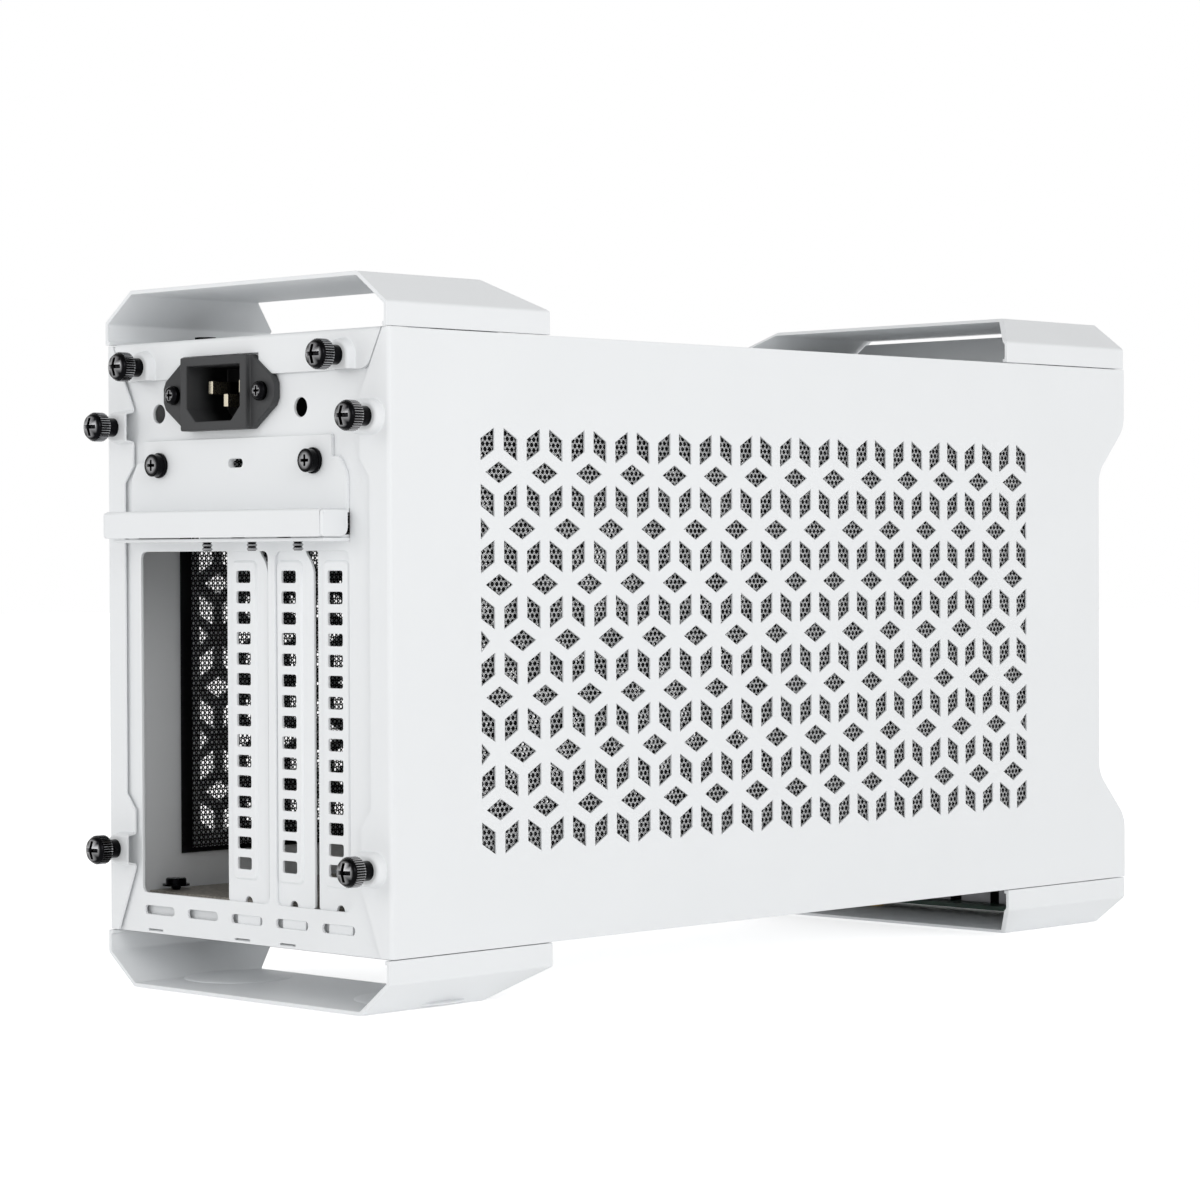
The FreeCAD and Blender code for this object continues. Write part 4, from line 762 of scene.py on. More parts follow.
@dataclass
class DustMesh:
    """Sheet of hexagonal holes behind a side panel.

    Attributes:
        side: Which panel.
        pitch: Distance between holes in a row, mm.
        web: Width of the strips between holes on the outside, mm.
        back: Width of the strips on the inside, mm.
        border: Width of the closed border at its ends; above and below it is a third of that, mm.
        trim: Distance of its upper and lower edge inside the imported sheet, mm.
        margin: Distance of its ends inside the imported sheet, mm.
    """

    side: Side
    pitch: float = 1.8
    web: float = 0.4
    back: float = 0.9
    border: float = 4.5
    trim: float = 3.0
    margin: float = 0.2

    def layer(self, plane: float, facing: int, web: float, low: Vector, high: Vector) -> BMesh:
        """Repeat one ring of six sides over a rectangle.

        Args:
            plane: X of the layer, mm.
            facing: Sign of X that it faces.
            web: Width of its strips, mm.
            low: Lowest corner, mm.
            high: Highest corner, mm.

        Returns:
            The layer's shape.
        """
        rise = self.pitch * math.sqrt(3.0) / 2.0
        columns = int((high.y - low.y) / self.pitch - 0.5)
        rows = int((high.z - low.z) / rise)
        used = Vector((high.x - low.x, (columns + 0.5) * self.pitch, rows * rise))
        spare = (high - low - used) / 2.0
        bm = bmesh.new()
        bmesh.ops.create_circle(bm, cap_ends=True, segments=6, radius=self.pitch / math.sqrt(3.0) * MM)
        bmesh.ops.inset_individual(bm, faces=bm.faces[:], thickness=web / 2.0 * MM, use_even_offset=True)
        inner = [face for face in bm.faces if len(face.verts) == 6]
        bmesh.ops.delete(bm, geom=inner, context="FACES_ONLY")
        first = Vector((plane, low.y + spare.y + self.pitch / 2.0, low.z + spare.z + rise / 2.0))
        turn = Matrix.Rotation(facing * math.pi / 2.0, 4, "Y")
        bmesh.ops.transform(bm, matrix=Matrix.Translation(first * MM) @ turn, verts=bm.verts)
        self.repeat(bm, Vector((0.0, self.pitch, 0.0)) * MM, columns)
        pair = bmesh.ops.duplicate(bm, geom=bm.verts[:] + bm.edges[:] + bm.faces[:])
        verts = pick(pair["geom"], BMVert)
        bmesh.ops.translate(bm, vec=Vector((0.0, self.pitch / 2.0, rise)) * MM, verts=verts)
        self.repeat(bm, Vector((0.0, 0.0, 2.0 * rise)) * MM, rows // 2)
        bmesh.ops.remove_doubles(bm, verts=bm.verts, dist=MESH_WELD * MM)
        return bm

    def build(self, shop: Workshop) -> None:
        """Make a dark inner layer over the whole sheet and a pale outer one behind the field, painted sheen
        for the lit outer face of the black mesh.
        """
        name = f"side_mesh_{self.side.label}"
        low, high = extent(name)
        margin = Vector((0.0, self.margin, self.trim))
        low, high = low + margin, high - margin
        outer = self.side.value
        inside, outside = (low.x, high.x) if outer > 0 else (high.x, low.x)
        body = self.side.body.value
        web = self.layer(inside, -outer, self.back, low, high)
        shop.place(f"web_{name}", web, "dust_mesh", body, [name])
        inset = Vector((0.0, self.border, self.border / 3.0))
        # Painted sheen: pale outer layer standing for the black mesh lit from outside.
        face = self.layer(outside, outer, self.web, low + inset, high - inset)
        shop.place(f"face_{name}", face, "dust_mesh", body, finish="mesh_face")
        middle, span = (low + high) / 2.0, high - low
        rim = Sheet(0.0)
        hole = span - 2.0 * inset
        rim.patch([[Vector((inside, y, z)) for y, z in rectangle(middle.y, middle.z, size.y, size.z)]
                   for size in (span, hole)])
        shop.place(f"rim_{name}", rim.bm, "dust_mesh", body)

    @staticmethod
    def repeat(bm: BMesh, step: Vector, count: int) -> None:
        """Add copies of a shape in a row.

        Args:
            bm: Shape to repeat.
            step: Distance from one copy to the next, metres.
            count: Number of copies with the first.
        """
        source = bm.verts[:] + bm.edges[:] + bm.faces[:]
        for index in range(1, count):
            extra = bmesh.ops.duplicate(bm, geom=source)
            bmesh.ops.translate(bm, vec=step * index, verts=pick(extra["geom"], BMVert))


# Top cover


@dataclass
class TopCover:
    """Flat cover with a rear tab, notched round the inlet and pressed into two arches.

    Attributes:
        half: Half width of the plate, mm.
        top: Its outer face, mm.
        rear: Outer face of the tab, mm.
        gauge: Thickness, mm.
        bend: Outer radius of the fold, mm.
        bolt: Thumbscrew's distance from the middle, mm.
        level: Thumbscrew's height, mm.
        arch: Half width of an arch, mm.
        rise: Height of an arch, mm.
        slope: How far an arch's crown lies inside its foot, mm.
        lower: Half width of the tab at its lower edge, mm.
        corner: Distance from the tab's corner at which its round starts, mm.
        notch: Half width of the notch for the inlet, mm.
        gap: Clearance over the inlet, mm.
        strip: Least height of the tab over the notch, mm.
    """

    half: float = 60.0
    top: float = 195.1
    rear: float = 168.0
    gauge: float = 1.2
    bend: float = 1.4
    bolt: float = 45.0
    level: float = 187.5
    arch: float = 5.0
    rise: float = 3.0
    slope: float = 0.5
    lower: float = 54.6
    corner: float = 2.4
    notch: float = 17.4
    gap: float = 0.4
    strip: float = 0.6

    def arch_line(self, centre: float, inset: float, foot: float) -> list[Point]:
        """Line around the arch at an X, towards +X, as points in X and Z."""
        half = self.arch - inset
        return [(centre - aside, height) for height, aside in arch(self.level + half, foot, half)]

    def build(self, shop: Workshop) -> None:
        """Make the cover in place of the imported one."""
        low, _ = extent("top_cover")
        foot, edge = low.z, self.half
        fold, under = self.rear - self.bend, self.top - self.bend
        sheet = Sheet(self.gauge)
        plate = [(-edge, low.y), (edge, low.y), (edge, fold), (-edge, fold)]
        sheet.patch([[Vector((x, y, self.top)) for x, y in plate]])
        roof = min(extent("inlet_body")[1].z + self.gap, under - self.strip)
        left, right = INLET_X - self.notch, INLET_X + self.notch
        tab = [(edge, under), (-edge, under)]
        tab += rounded([(-edge, under), (-self.lower, foot), (0.0, foot)], {1: self.corner})[1:-1]
        tab += self.arch_line(-self.bolt, 0.0, foot)
        tab += [(left, foot), (left, roof), (right, roof), (right, foot)]
        tab += self.arch_line(self.bolt, 0.0, foot)
        tab += rounded([(0.0, foot), (self.lower, foot), (edge, under)], {1: self.corner})[1:-1]
        sheet.patch([lift(self.rear, tab)])
        sheet.bend(Vector((-edge, fold, self.top)), Vector((edge, fold, self.top)),
                   Vector((0.0, fold, under)), Vector((-1.0, 0.0, 0.0)))
        for centre in (-self.bolt, self.bolt):
            crown = lift(self.rear, self.arch_line(centre, self.slope, foot), self.rise)
            sheet.boss(lift(self.rear, self.arch_line(centre, 0.0, foot)), crown)
        bm = sheet.close(UPWARD, ease=0.1)
        shop.place("skin_top_cover", bm, "white_coat", Body.TOP.value, ["top_cover"])


# Rear wall


@dataclass
class RearPanel:
    """Rear wall of the frame with its windows, slots, holes and screw shelf.

    Attributes:
        face: Outer face, mm.
        half: Half width, mm.
        floor: Lower edge, mm.
        top: Upper edge, mm.
        gauge: Thickness, mm.
        fold: Depth of the folded edges, mm.
        windows: Left end, right end, lower and upper edge of each slot window, mm.
        shelf: Underside of the screw shelf, mm.
        ledge: Both ends of the shelf and its reach, mm.
        canopy: Upper edge of the opening over the shelf, mm.
        slots: Middle of each expansion slot, mm.
        corner: Radius of a window's corners, mm.
        inlet: Middle's height, width and height of the inlet's opening, mm.
        passages: Middle, distance from it, height and radius of the two round holes, mm.
        rest: Height, width, height and corner radius of the hole for each cover's tongue, mm.
        nick: Shift from a slot's middle, height, width and height of a nick at the floor, mm.
        nicked: Slots that have such a nick.
    """

    face: float = 166.5
    half: float = 62.5
    floor: float = 16.5
    top: float = 193.6
    gauge: float = 1.0
    fold: float = 10.0
    windows: tuple[tuple[float, float, float, float], ...] = (
        (-45.2, -12.5, 28.8, 132.0), (-9.5, 49.6, 28.8, 132.0))
    shelf: float = 134.7
    ledge: tuple[float, float, float] = (-45.5, 50.5, 176.2)
    canopy: float = 144.0
    slots: tuple[float, ...] = (41.5, 21.18, 0.86, -19.46, -39.78)
    corner: float = 2.0
    inlet: tuple[float, float, float] = (178.6, 27.8, 20.0)
    passages: tuple[float, float, float, float] = (8.0, 32.45, 173.5, 2.9)
    rest: tuple[float, float, float, float] = (23.6, 14.2, 2.7, 1.25)
    nick: tuple[float, float, float, float] = (2.0, 17.6, 7.0, 0.6)
    nicked: tuple[int, ...] = (0, 2, 3)

    def openings(self) -> list[list[Point]]:
        """Outlines of every hole in X and Z."""
        holes = []
        rims = [(*window, self.corner) for window in self.windows]
        rims.append((*self.ledge[:2], self.shelf, self.canopy, 0.0))
        for left, right, low, high, corner in rims:
            middle, level = (left + right) / 2.0, (low + high) / 2.0
            holes.append(rectangle(middle, level, right - left, high - low, corner))
        holes.append(rectangle(INLET_X, *self.inlet))
        holes.append(rectangle(HOOD_X, *KEY_SLOT))
        middle, apart, level, radius = self.passages
        holes += [circle(middle + hand * apart, level, radius) for hand in (-1, 1)]
        holes += [rectangle(slot, *self.rest) for slot in self.slots]
        shift, *nick = self.nick
        holes += [rectangle(self.slots[index] + shift, *nick) for index in self.nicked]
        return holes

    def build(self, shop: Workshop) -> None:
        """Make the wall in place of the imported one."""
        sheet = Sheet(self.gauge)
        outline = rectangle(0.0, (self.floor + self.top) / 2.0, 2.0 * self.half, self.top - self.floor)
        sheet.patch([lift(self.face, loop) for loop in [outline, *self.openings()]])
        back = self.face - self.fold
        for edge in (-self.half, self.half):
            corners = [(self.face, self.floor), (back, self.floor), (back, self.top), (self.face, self.top)]
            sheet.patch([[Vector((edge, along, level)) for along, level in corners]])
        left, right, reach = self.ledge
        corners = [(left, self.face), (right, self.face), (right, reach), (left, reach)]
        sheet.patch([[Vector((across, along, self.shelf)) for across, along in corners]])
        bm = sheet.close(REARWARD, ease=0.1)
        shop.place("skin_rear_panel", bm, "white_coat", Body.CHASSIS.value, ["rear_panel"])


@dataclass
class SlotCover:
    """Blade over an unused slot, with a raised band of vents.

    Attributes:
        number: Which slot.
        face: Outer face, mm.
        gauge: Thickness, mm.
        wide: Width of the blade, mm.
        tongue: Width of its lower end, mm.
        tip: Lower end, mm.
        shelf: Height of its fold, mm.
        reach: End of its folded foot, mm.
        band: Shift from the middle, width, lower and upper edge of the band, mm.
        rise: Height of the band, mm.
        slope: How far the band's crown lies inside its foot, mm.
        corners: Corner radius of the band's foot and of its crown, mm.
        vents: Number, lowest and highest of the vents, mm.
        vent: Width, height and corner radius of a vent, mm.
        shoulders: Heights between which the tongue widens to the blade, mm.
        cut: Width, upper and lower height of the cut corner beside the fold, mm.
        rounds: Distance from the cut's two corners at which their rounds start, mm.
        hole: Height and radius of the hole over the tongue, mm.
    """

    number: int
    face: float = 165.5
    gauge: float = 0.9
    wide: float = 18.42
    tongue: float = 10.2
    tip: float = 19.7
    shelf: float = 135.7
    reach: float = 175.8
    band: tuple[float, float, float, float] = (1.1, 11.2, 35.3, 129.3)
    rise: float = 0.7
    slope: float = 0.5
    corners: Point = (1.9, 1.5)
    vents: tuple[int, float, float] = (15, 40.2, 124.48)
    vent: tuple[float, float, float] = (6.4, 3.6, 0.7)
    shoulders: Point = (26.1, 29.1)
    cut: tuple[float, float, float] = (4.0, 132.4, 127.4)
    rounds: Point = (2.0, 2.4)
    hole: Point = (28.8, 1.7)

    def outline(self, middle: float) -> list[Point]:
        """Outline of the blade in X and Z.

        Args:
            middle: Its X.

        Returns:
            The outline's points in order.
        """
        low, high, half = middle - self.wide / 2.0, middle + self.wide / 2.0, self.tongue / 2.0
        neck, blade = self.shoulders
        cut, cut_top, cut_foot = self.cut
        corners = [(middle - half, self.tip), (middle + half, self.tip), (middle + half, neck),
                   (high, blade), (high, self.shelf), (low + cut, self.shelf), (low + cut, cut_top),
                   (low, cut_foot), (low, blade), (middle - half, neck)]
        return rounded(corners, dict(zip((6, 7), self.rounds)))

    def build(self, shop: Workshop) -> None:
        """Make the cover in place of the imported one."""
        name = f"slot_cover_{self.number}"
        low, high = extent(name)
        middle = (low.x + high.x) / 2.0
        sheet = Sheet(self.gauge)
        shift, wide, bottom, top = self.band
        across, level = middle + shift, (bottom + top) / 2.0
        inset = 2.0 * self.slope
        foot = rectangle(across, level, wide, top - bottom, self.corners[0])
        crown = rectangle(across, level, wide - inset, top - bottom - inset, self.corners[1])
        hole = circle(middle, *self.hole, sides=16)
        sheet.patch([lift(self.face, loop) for loop in (self.outline(middle), foot, hole)])
        count, first, last = self.vents
        step = (last - first) / (count - 1)
        vents = [rectangle(across, first + step * index, *self.vent) for index in range(count)]
        sheet.emboss(lift(self.face, foot), lift(self.face, crown, self.rise),
                     [lift(self.face, vent, self.rise) for vent in vents])
        near = low.x + self.cut[0]
        bend = [(near, self.face), (high.x, self.face), (high.x, self.reach), (near, self.reach)]
        sheet.patch([[Vector((x, y, self.shelf)) for x, y in bend]])
        bm = sheet.close(REARWARD, ease=0.08, press=0.3)
        shop.place(f"skin_{name}", bm, "white_coat", Body.CHASSIS.value, [name])


@dataclass
class SlotHood:
    """Retainer hood: plate with two screws, canopy and a lip with open corners.

    Attributes:
        half: Outer face of a turned-in end from the middle, mm.
        wide: Width of the plate's foot and of the canopy, mm.
        wall: Plane that the plate lies on, mm.
        gauge: Thickness, mm.
        fold: Top of the canopy, mm.
        lip: Lower edge of the lip, mm.
        reach: Outer face of the lip, mm.
        gap: Slit at the lip's corners, mm.
        shoulder: The plate's corners from its widest place up, from the middle and as height, mm.
        rounds: Distance from each of these corners at which its round starts, mm.
        corner: The same for the lip's lower corners, mm.
        play: Distance of a turned-in end from the lip's face and from the wall, mm.
        end_rounds: Distance at which the rounds of a turned-in end start, by corner, mm.
    """

    half: float = 50.0
    wide: float = 98.0
    wall: float = 166.5
    gauge: float = 1.2
    fold: float = 144.0
    lip: float = 136.0
    reach: float = 178.0
    gap: float = 0.3
    shoulder: tuple[Point, ...] = ((49.0, 153.9), (46.0, 158.9), (42.6, 158.9), (42.6, 165.3))
    rounds: tuple[float, ...] = (1.6, 0.9, 0.4, 0.6)
    corner: float = 1.0
    play: Point = (0.2, 1.4)
    end_rounds: tuple[tuple[int, float], ...] = ((0, 1.1), (1, 0.9), (3, 2.6))

    def plate(self) -> BMesh:
        """Flat plate on the rear wall."""
        sheet = Sheet(self.gauge)
        face = self.wall + self.gauge
        side = [(self.wide / 2.0, self.fold - self.gauge), *self.shoulder]
        corners = [(HOOD_X + x, z) for x, z in side] + [(HOOD_X - x, z) for x, z in side[::-1]]
        outline = rounded(corners, dict(enumerate((*self.rounds, *self.rounds[::-1]), 1)))
        sheet.patch([lift(face, loop) for loop in (outline, rectangle(HOOD_X, *KEY_SLOT))])
        return sheet.close(REARWARD, ease=0.12)

    def canopy(self) -> BMesh:
        """Roof over the slot screws, folded down to the lip."""
        sheet = Sheet(self.gauge)
        back = self.wall + self.gauge
        roof = rectangle(HOOD_X, (back + self.reach) / 2.0, self.wide, self.reach - back)
        sheet.patch([[Vector((x, y, self.fold)) for x, y in roof]])
        lip = rectangle(HOOD_X, (self.lip + self.fold) / 2.0, self.wide, self.fold - self.lip)
        sheet.patch([lift(self.reach, rounded(lip, dict.fromkeys((0, 1), self.corner)))])
        return sheet.close(UPWARD, ease=0.1)

    def end(self, hand: int) -> BMesh:
        """Turned-in end of the lip.

        Args:
            hand: Sign of its X.

        Returns:
            Its shape.
        """
        sheet = Sheet(self.gauge)
        edge = HOOD_X + hand * self.half
        front, back, top = self.reach - self.play[0], self.wall + self.play[1], self.fold - self.gap
        corners = [(front, self.lip), (front, top), (back, top), (back, self.lip)]
        outline = rounded(corners, dict(self.end_rounds))
        sheet.patch([[Vector((edge, y, z)) for y, z in outline]])
        return sheet.close(Vector((float(hand), 0.0, 0.0)), ease=0.25)

    def build(self, shop: Workshop) -> None:
        """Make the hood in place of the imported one."""
        body = Body.CHASSIS.value
        shop.place("skin_slot_hood", self.plate(), "white_coat", body, ["slot_hood"])
        shop.place("canopy_slot_hood", self.canopy(), "white_coat", body)
        for hand in (-1, 1):
            shop.place(f"end_slot_hood_{'near' if hand < 0 else 'far'}", self.end(hand), "white_coat", body)


# Fasteners


class Turning:
    """Round part grown ring by ring along +Z, with ribs where wanted and painted light on every vertex."""

    def __init__(self, radius: float, sides: int) -> None:
        """Start with one ring at height 0.

        Args:
            radius: Its radius, mm.
            sides: Segments of every ring.
        """
        self.bm = bmesh.new()
        # Painted light on every vertex: painted highlights and painted shade.
        self.painted_light = self.bm.verts.layers.float.new(PAINTED_LIGHT)
        bmesh.ops.create_circle(self.bm, cap_ends=False, segments=sides, radius=radius * MM)
        for vert in self.bm.verts:
            vert[self.painted_light] = PLAIN_PAINTED_LIGHT
        self.ring = self.bm.edges[:]
        self.radius = radius
        self.height = 0.0

    def verts(self) -> list[BMVert]:
        """Vertices of the newest ring in order of their angle."""
        found = {vert for edge in self.ring for vert in edge.verts}
        return sorted(found, key=lambda vert: math.atan2(vert.co.y, vert.co.x))

    def step(self, radius: float, height: float, rib: float = 0.0, painted_light: float = PLAIN_PAINTED_LIGHT) -> None:
        """Grow to a new ring.

        Args:
            radius: Its radius, mm.
            height: Its height, mm.
            rib: Depth by which every second vertex lies lower, mm.
            painted_light: Painted highlight of the ring, or of its ribs, whose grooves get painted shade.
        """
        grown = bmesh.ops.extrude_edge_only(self.bm, edges=self.ring)["geom"]
        self.ring = pick(grown, BMEdge)
        for index, vert in enumerate(self.verts()):
            reach = (radius - rib * (index % 2)) * MM
            flat = vert.co.to_2d().normalized() * reach
            vert.co = (flat.x, flat.y, height * MM)
            # Rib grooves get painted shade; ribs and plain rings the given painted light.
            vert[self.painted_light] = 0.0 if rib and index % 2 else painted_light
        self.radius, self.height = radius, height

    def cross(self, arm: float, wide: float, deep: float, dome: float = 0.0) -> None:
        """Close the top with a cross recess.

        Args:
            arm: Reach of an arm, mm.
            wide: Half width of an arm, mm.
            deep: Depth of the recess, mm.
            dome: Height of a dome over the last ring, mm.
        """
        corners = [(arm, -wide), (arm, wide), (wide, wide), (wide, arm), (-wide, arm), (-wide, wide),
                   (-arm, wide), (-arm, -wide), (-wide, -wide), (-wide, -arm), (wide, -arm), (wide, -wide)]
        verts = []
        # Mouth corners get a painted glint.
        for x, y in corners:
            rise = dome * (1.0 - (x * x + y * y) / self.radius ** 2)
            verts.append(self.bm.verts.new((x * MM, y * MM, (self.height + rise) * MM)))
            verts[-1][self.painted_light] = EDGE_GLINT
        mouth = [self.bm.edges.new(pair) for pair in zip(verts, verts[1:] + verts[:1])]
        fill(self.bm, self.ring + mouth)
        grown = bmesh.ops.extrude_edge_only(self.bm, edges=mouth)["geom"]
        floor = pick(grown, BMVert)
        bmesh.ops.scale(self.bm, vec=(CROSS_TAPER, CROSS_TAPER, 1.0), verts=floor)
        bmesh.ops.translate(self.bm, vec=(0.0, 0.0, -deep * MM), verts=floor)
        # Painted shade on the recess's floor.
        for vert in floor:
            vert[self.painted_light] = 0.0
        fill(self.bm, pick(grown, BMEdge))


def set_out(part: BMesh, places: Sequence[Vector], axis: Vector) -> BMesh:
    """Copy an upright part to several places.

    Args:
        part: Part along +Z; it is used up.
        places: Where its origin goes, mm.
        axis: Direction that its +Z takes.

    Returns:
        One shape with every copy.
    """
    mesh = bpy.data.meshes.new("part")
    bmesh.ops.recalc_face_normals(part, faces=part.faces)
    part.to_mesh(mesh)
    part.free()
    turn = UPWARD.rotation_difference(axis).to_matrix().to_4x4()
    group = bmesh.new()
    for place in places:
        before = set(group.verts)
        group.from_mesh(mesh)
        fresh = [vert for vert in group.verts if vert not in before]
        bmesh.ops.transform(group, matrix=Matrix.Translation(place * MM) @ turn, verts=fresh)
    bpy.data.meshes.remove(mesh)
    return group


def centres(node: str) -> list[tuple[Vector, Vector]]:
    """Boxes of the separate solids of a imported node.

    Args:
        node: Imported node.

    Returns:
        Lowest and highest corner of each solid, mm.
    """
    bm = copy_node(node)
    left = set(bm.verts)
    boxes = []
    while left:
        shell, edge = set(), [left.pop()]
        while edge:
            vert = edge.pop()
            shell.add(vert)
            for link in vert.link_edges:
                other = link.other_vert(vert)
                if other in left:
                    left.discard(other)
                    edge.append(other)
        points = [vert.co / MM for vert in shell]
        boxes.append((Vector(map(min, zip(*points))), Vector(map(max, zip(*points)))))
    bm.free()
    return boxes


@dataclass
class Thumbscrew:
    """Black captive screw with a ribbed head and a cross recess.

    Attributes:
        neck: Radius of the neck, mm.
        head: Radius of the head, mm.
        grip: Height of the neck, mm.
        tip: Height of the whole screw, mm.
        ribs: Ribs round the head.
        rings: Distance inside the head's radius, distance below the tip and depth of the ribs in mm,
        and painted light of each ring of the head: painted highlights on the ribs, brighter towards the
        neck.
        recess: Reach, half width and depth of the cross recess and height of the dome, mm.
    """

    neck: float = 2.85
    head: float = 4.4
    grip: float = 3.8
    tip: float = 9.5
    ribs: int = 34
    # Ribbed rings get painted highlights, brighter towards the neck; the others the plain level.
    rings: tuple[tuple[float, float, float, float], ...] = (
        (0.45, 5.7, 0.0, PLAIN_PAINTED_LIGHT), (0.0, 5.3, 0.4, 1.0), (0.0, 2.3, 0.4, 0.8),
        (0.32, 2.0, 0.06, PLAIN_PAINTED_LIGHT), (0.38, 1.75, 0.0, PLAIN_PAINTED_LIGHT), (0.75, 1.2, 0.0, PLAIN_PAINTED_LIGHT))
    recess: tuple[float, float, float, float] = (2.75, 0.6, 1.5, 1.2)

    def shape(self) -> BMesh:
        """One screw standing on its seat."""
        turning = Turning(self.neck, 2 * self.ribs)
        turning.step(self.neck, self.grip)
        for inset, below, rib, painted_light in self.rings:
            turning.step(self.head - inset, self.tip - below, rib, painted_light)
        turning.cross(*self.recess)
        return turning.bm

    def build(self, shop: Workshop) -> None:
        """Make all six, each on its own body."""
        for name in sorted(frame["nodes"]):
            if name.startswith("thumbscrew_"):
                low, high = extent(name)
                seat = Vector(((low.x + high.x) / 2.0, high.y - self.tip, (low.z + high.z) / 2.0))
                bm = set_out(self.shape(), [seat], REARWARD)
                shop.place(f"screw_{name}", bm, "black_steel", name, [name], smooth=TURNED_SMOOTH)


@dataclass
class PanScrews:
    """Group of equal screws with round heads, fixed to the frame.

    Attributes:
        node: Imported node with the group.
        axis: Direction from the thread to the head.
        head: Radius of the head, mm.
        tall: Height of the head, mm.
        thread: Radius of the thread, mm.
        washer: Radius of a flange under a straight head, or 0 for a pan head, mm.
        flange: Height of the flange's edge and of the head's foot over the seat, then height and
            width of the head's chamfer, mm.
        root: Radius at the thread's root as a share of the thread's.
        pitch: Least height of one turn of the thread, mm.
        recess: Reach and half width of the cross recess by the head's radius, and its depth by the
            head's height.
    """

    node: str
    axis: Vector
    head: float
    tall: float
    thread: float
    washer: float = 0.0
    flange: tuple[float, float, float, float] = (0.6, 0.8, 0.3, 0.35)
    root: float = 0.7
    pitch: float = 1.0
    recess: tuple[float, float, float] = (0.5, 0.13, 0.55)

    def rings(self) -> list[Point]:
        """Radius and height over the seat of each ring of the head, mm."""
        if not self.washer:
            return [(self.head * share, self.tall * rise) for share, rise in PAN_RINGS]
        edge, foot, fall, inset = self.flange
        return [(self.washer, 0.0), (self.washer, edge), (self.head, foot), (self.head, self.tall - fall),
                (self.head - inset, self.tall)]

    def shape(self, length: float) -> BMesh:
        """One screw with its origin at the thread's end.

        Args:
            length: Length of the whole screw.

        Returns:
            Its shape.
        """
        root = self.thread * self.root
        turning = Turning(root, 24)
        seat = length - self.tall
        turns = max(2, int(seat / self.pitch))
        # Thread crests get painted highlights, roots painted shade.
        for turn in range(turns):
            turning.step(self.thread, seat * (turn + 0.5) / turns, painted_light=1.0)
            turning.step(root, seat * (turn + 1.0) / turns, painted_light=0.0)
        for radius, rise in self.rings():
            turning.step(radius, seat + rise)
        arm, wide, deep = self.recess
        turning.cross(self.head * arm, self.head * wide, self.tall * deep)
        return turning.bm

    def build(self, shop: Workshop) -> None:
        """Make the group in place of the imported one."""
        boxes = centres(self.node)
        lead = max(range(3), key=lambda index: abs(self.axis[index]))
        length = boxes[0][1][lead] - boxes[0][0][lead]
        places = []
        for low, high in boxes:
            place = (low + high) / 2.0
            place[lead] = low[lead] if self.axis[lead] > 0.0 else high[lead]
            places.append(place)
        bm = set_out(self.shape(length), places, self.axis)
        shop.place(f"detail_{self.node}", bm, "black_steel", Body.CHASSIS.value, [self.node],
                   smooth=TURNED_SMOOTH)


# Plain sheets and mouldings


def homes() -> dict[str, str]:
    """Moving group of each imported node, from the record."""
    bodies = frame["record"]["behaviour"]["bodies"]
    return {node: body for body, nodes in bodies.items() for node in nodes}


@dataclass
class Softened:
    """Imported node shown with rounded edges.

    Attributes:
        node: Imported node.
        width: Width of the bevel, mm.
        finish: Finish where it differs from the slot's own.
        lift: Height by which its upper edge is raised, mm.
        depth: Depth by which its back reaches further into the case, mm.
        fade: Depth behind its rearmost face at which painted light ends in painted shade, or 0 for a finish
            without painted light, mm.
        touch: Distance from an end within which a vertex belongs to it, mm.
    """

    node: str
    width: float
    finish: str = ""
    lift: float = 0.0
    depth: float = 0.0
    fade: float = 0.0
    touch: float = 0.1

    def build(self, shop: Workshop) -> None:
        """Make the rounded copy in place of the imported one."""
        bm = copy_node(self.node)
        low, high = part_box(self.node)
        edge = [vert for vert in bm.verts if vert.co.z > high.z - self.touch * MM]
        bmesh.ops.translate(bm, vec=(0.0, 0.0, self.lift * MM), verts=edge)
        inner = [vert for vert in bm.verts if vert.co.y < low.y + self.touch * MM]
        bmesh.ops.translate(bm, vec=(0.0, -self.depth * MM, 0.0), verts=inner)
        soften(bm, self.width, 2)
        bmesh.ops.recalc_face_normals(bm, faces=bm.faces)
        # Painted light, full at the rearmost face and fading to painted shade deeper in.
        if self.fade:
            painted_light = bm.verts.layers.float.new(PAINTED_LIGHT)
            for vert in bm.verts:
                vert[painted_light] = max(0.0, 1.0 - (high.y - vert.co.y) / MM / self.fade)
        shop.place(f"soft_{self.node}", bm, node_slots()[self.node], homes()[self.node], [self.node],
                   finish=self.finish)


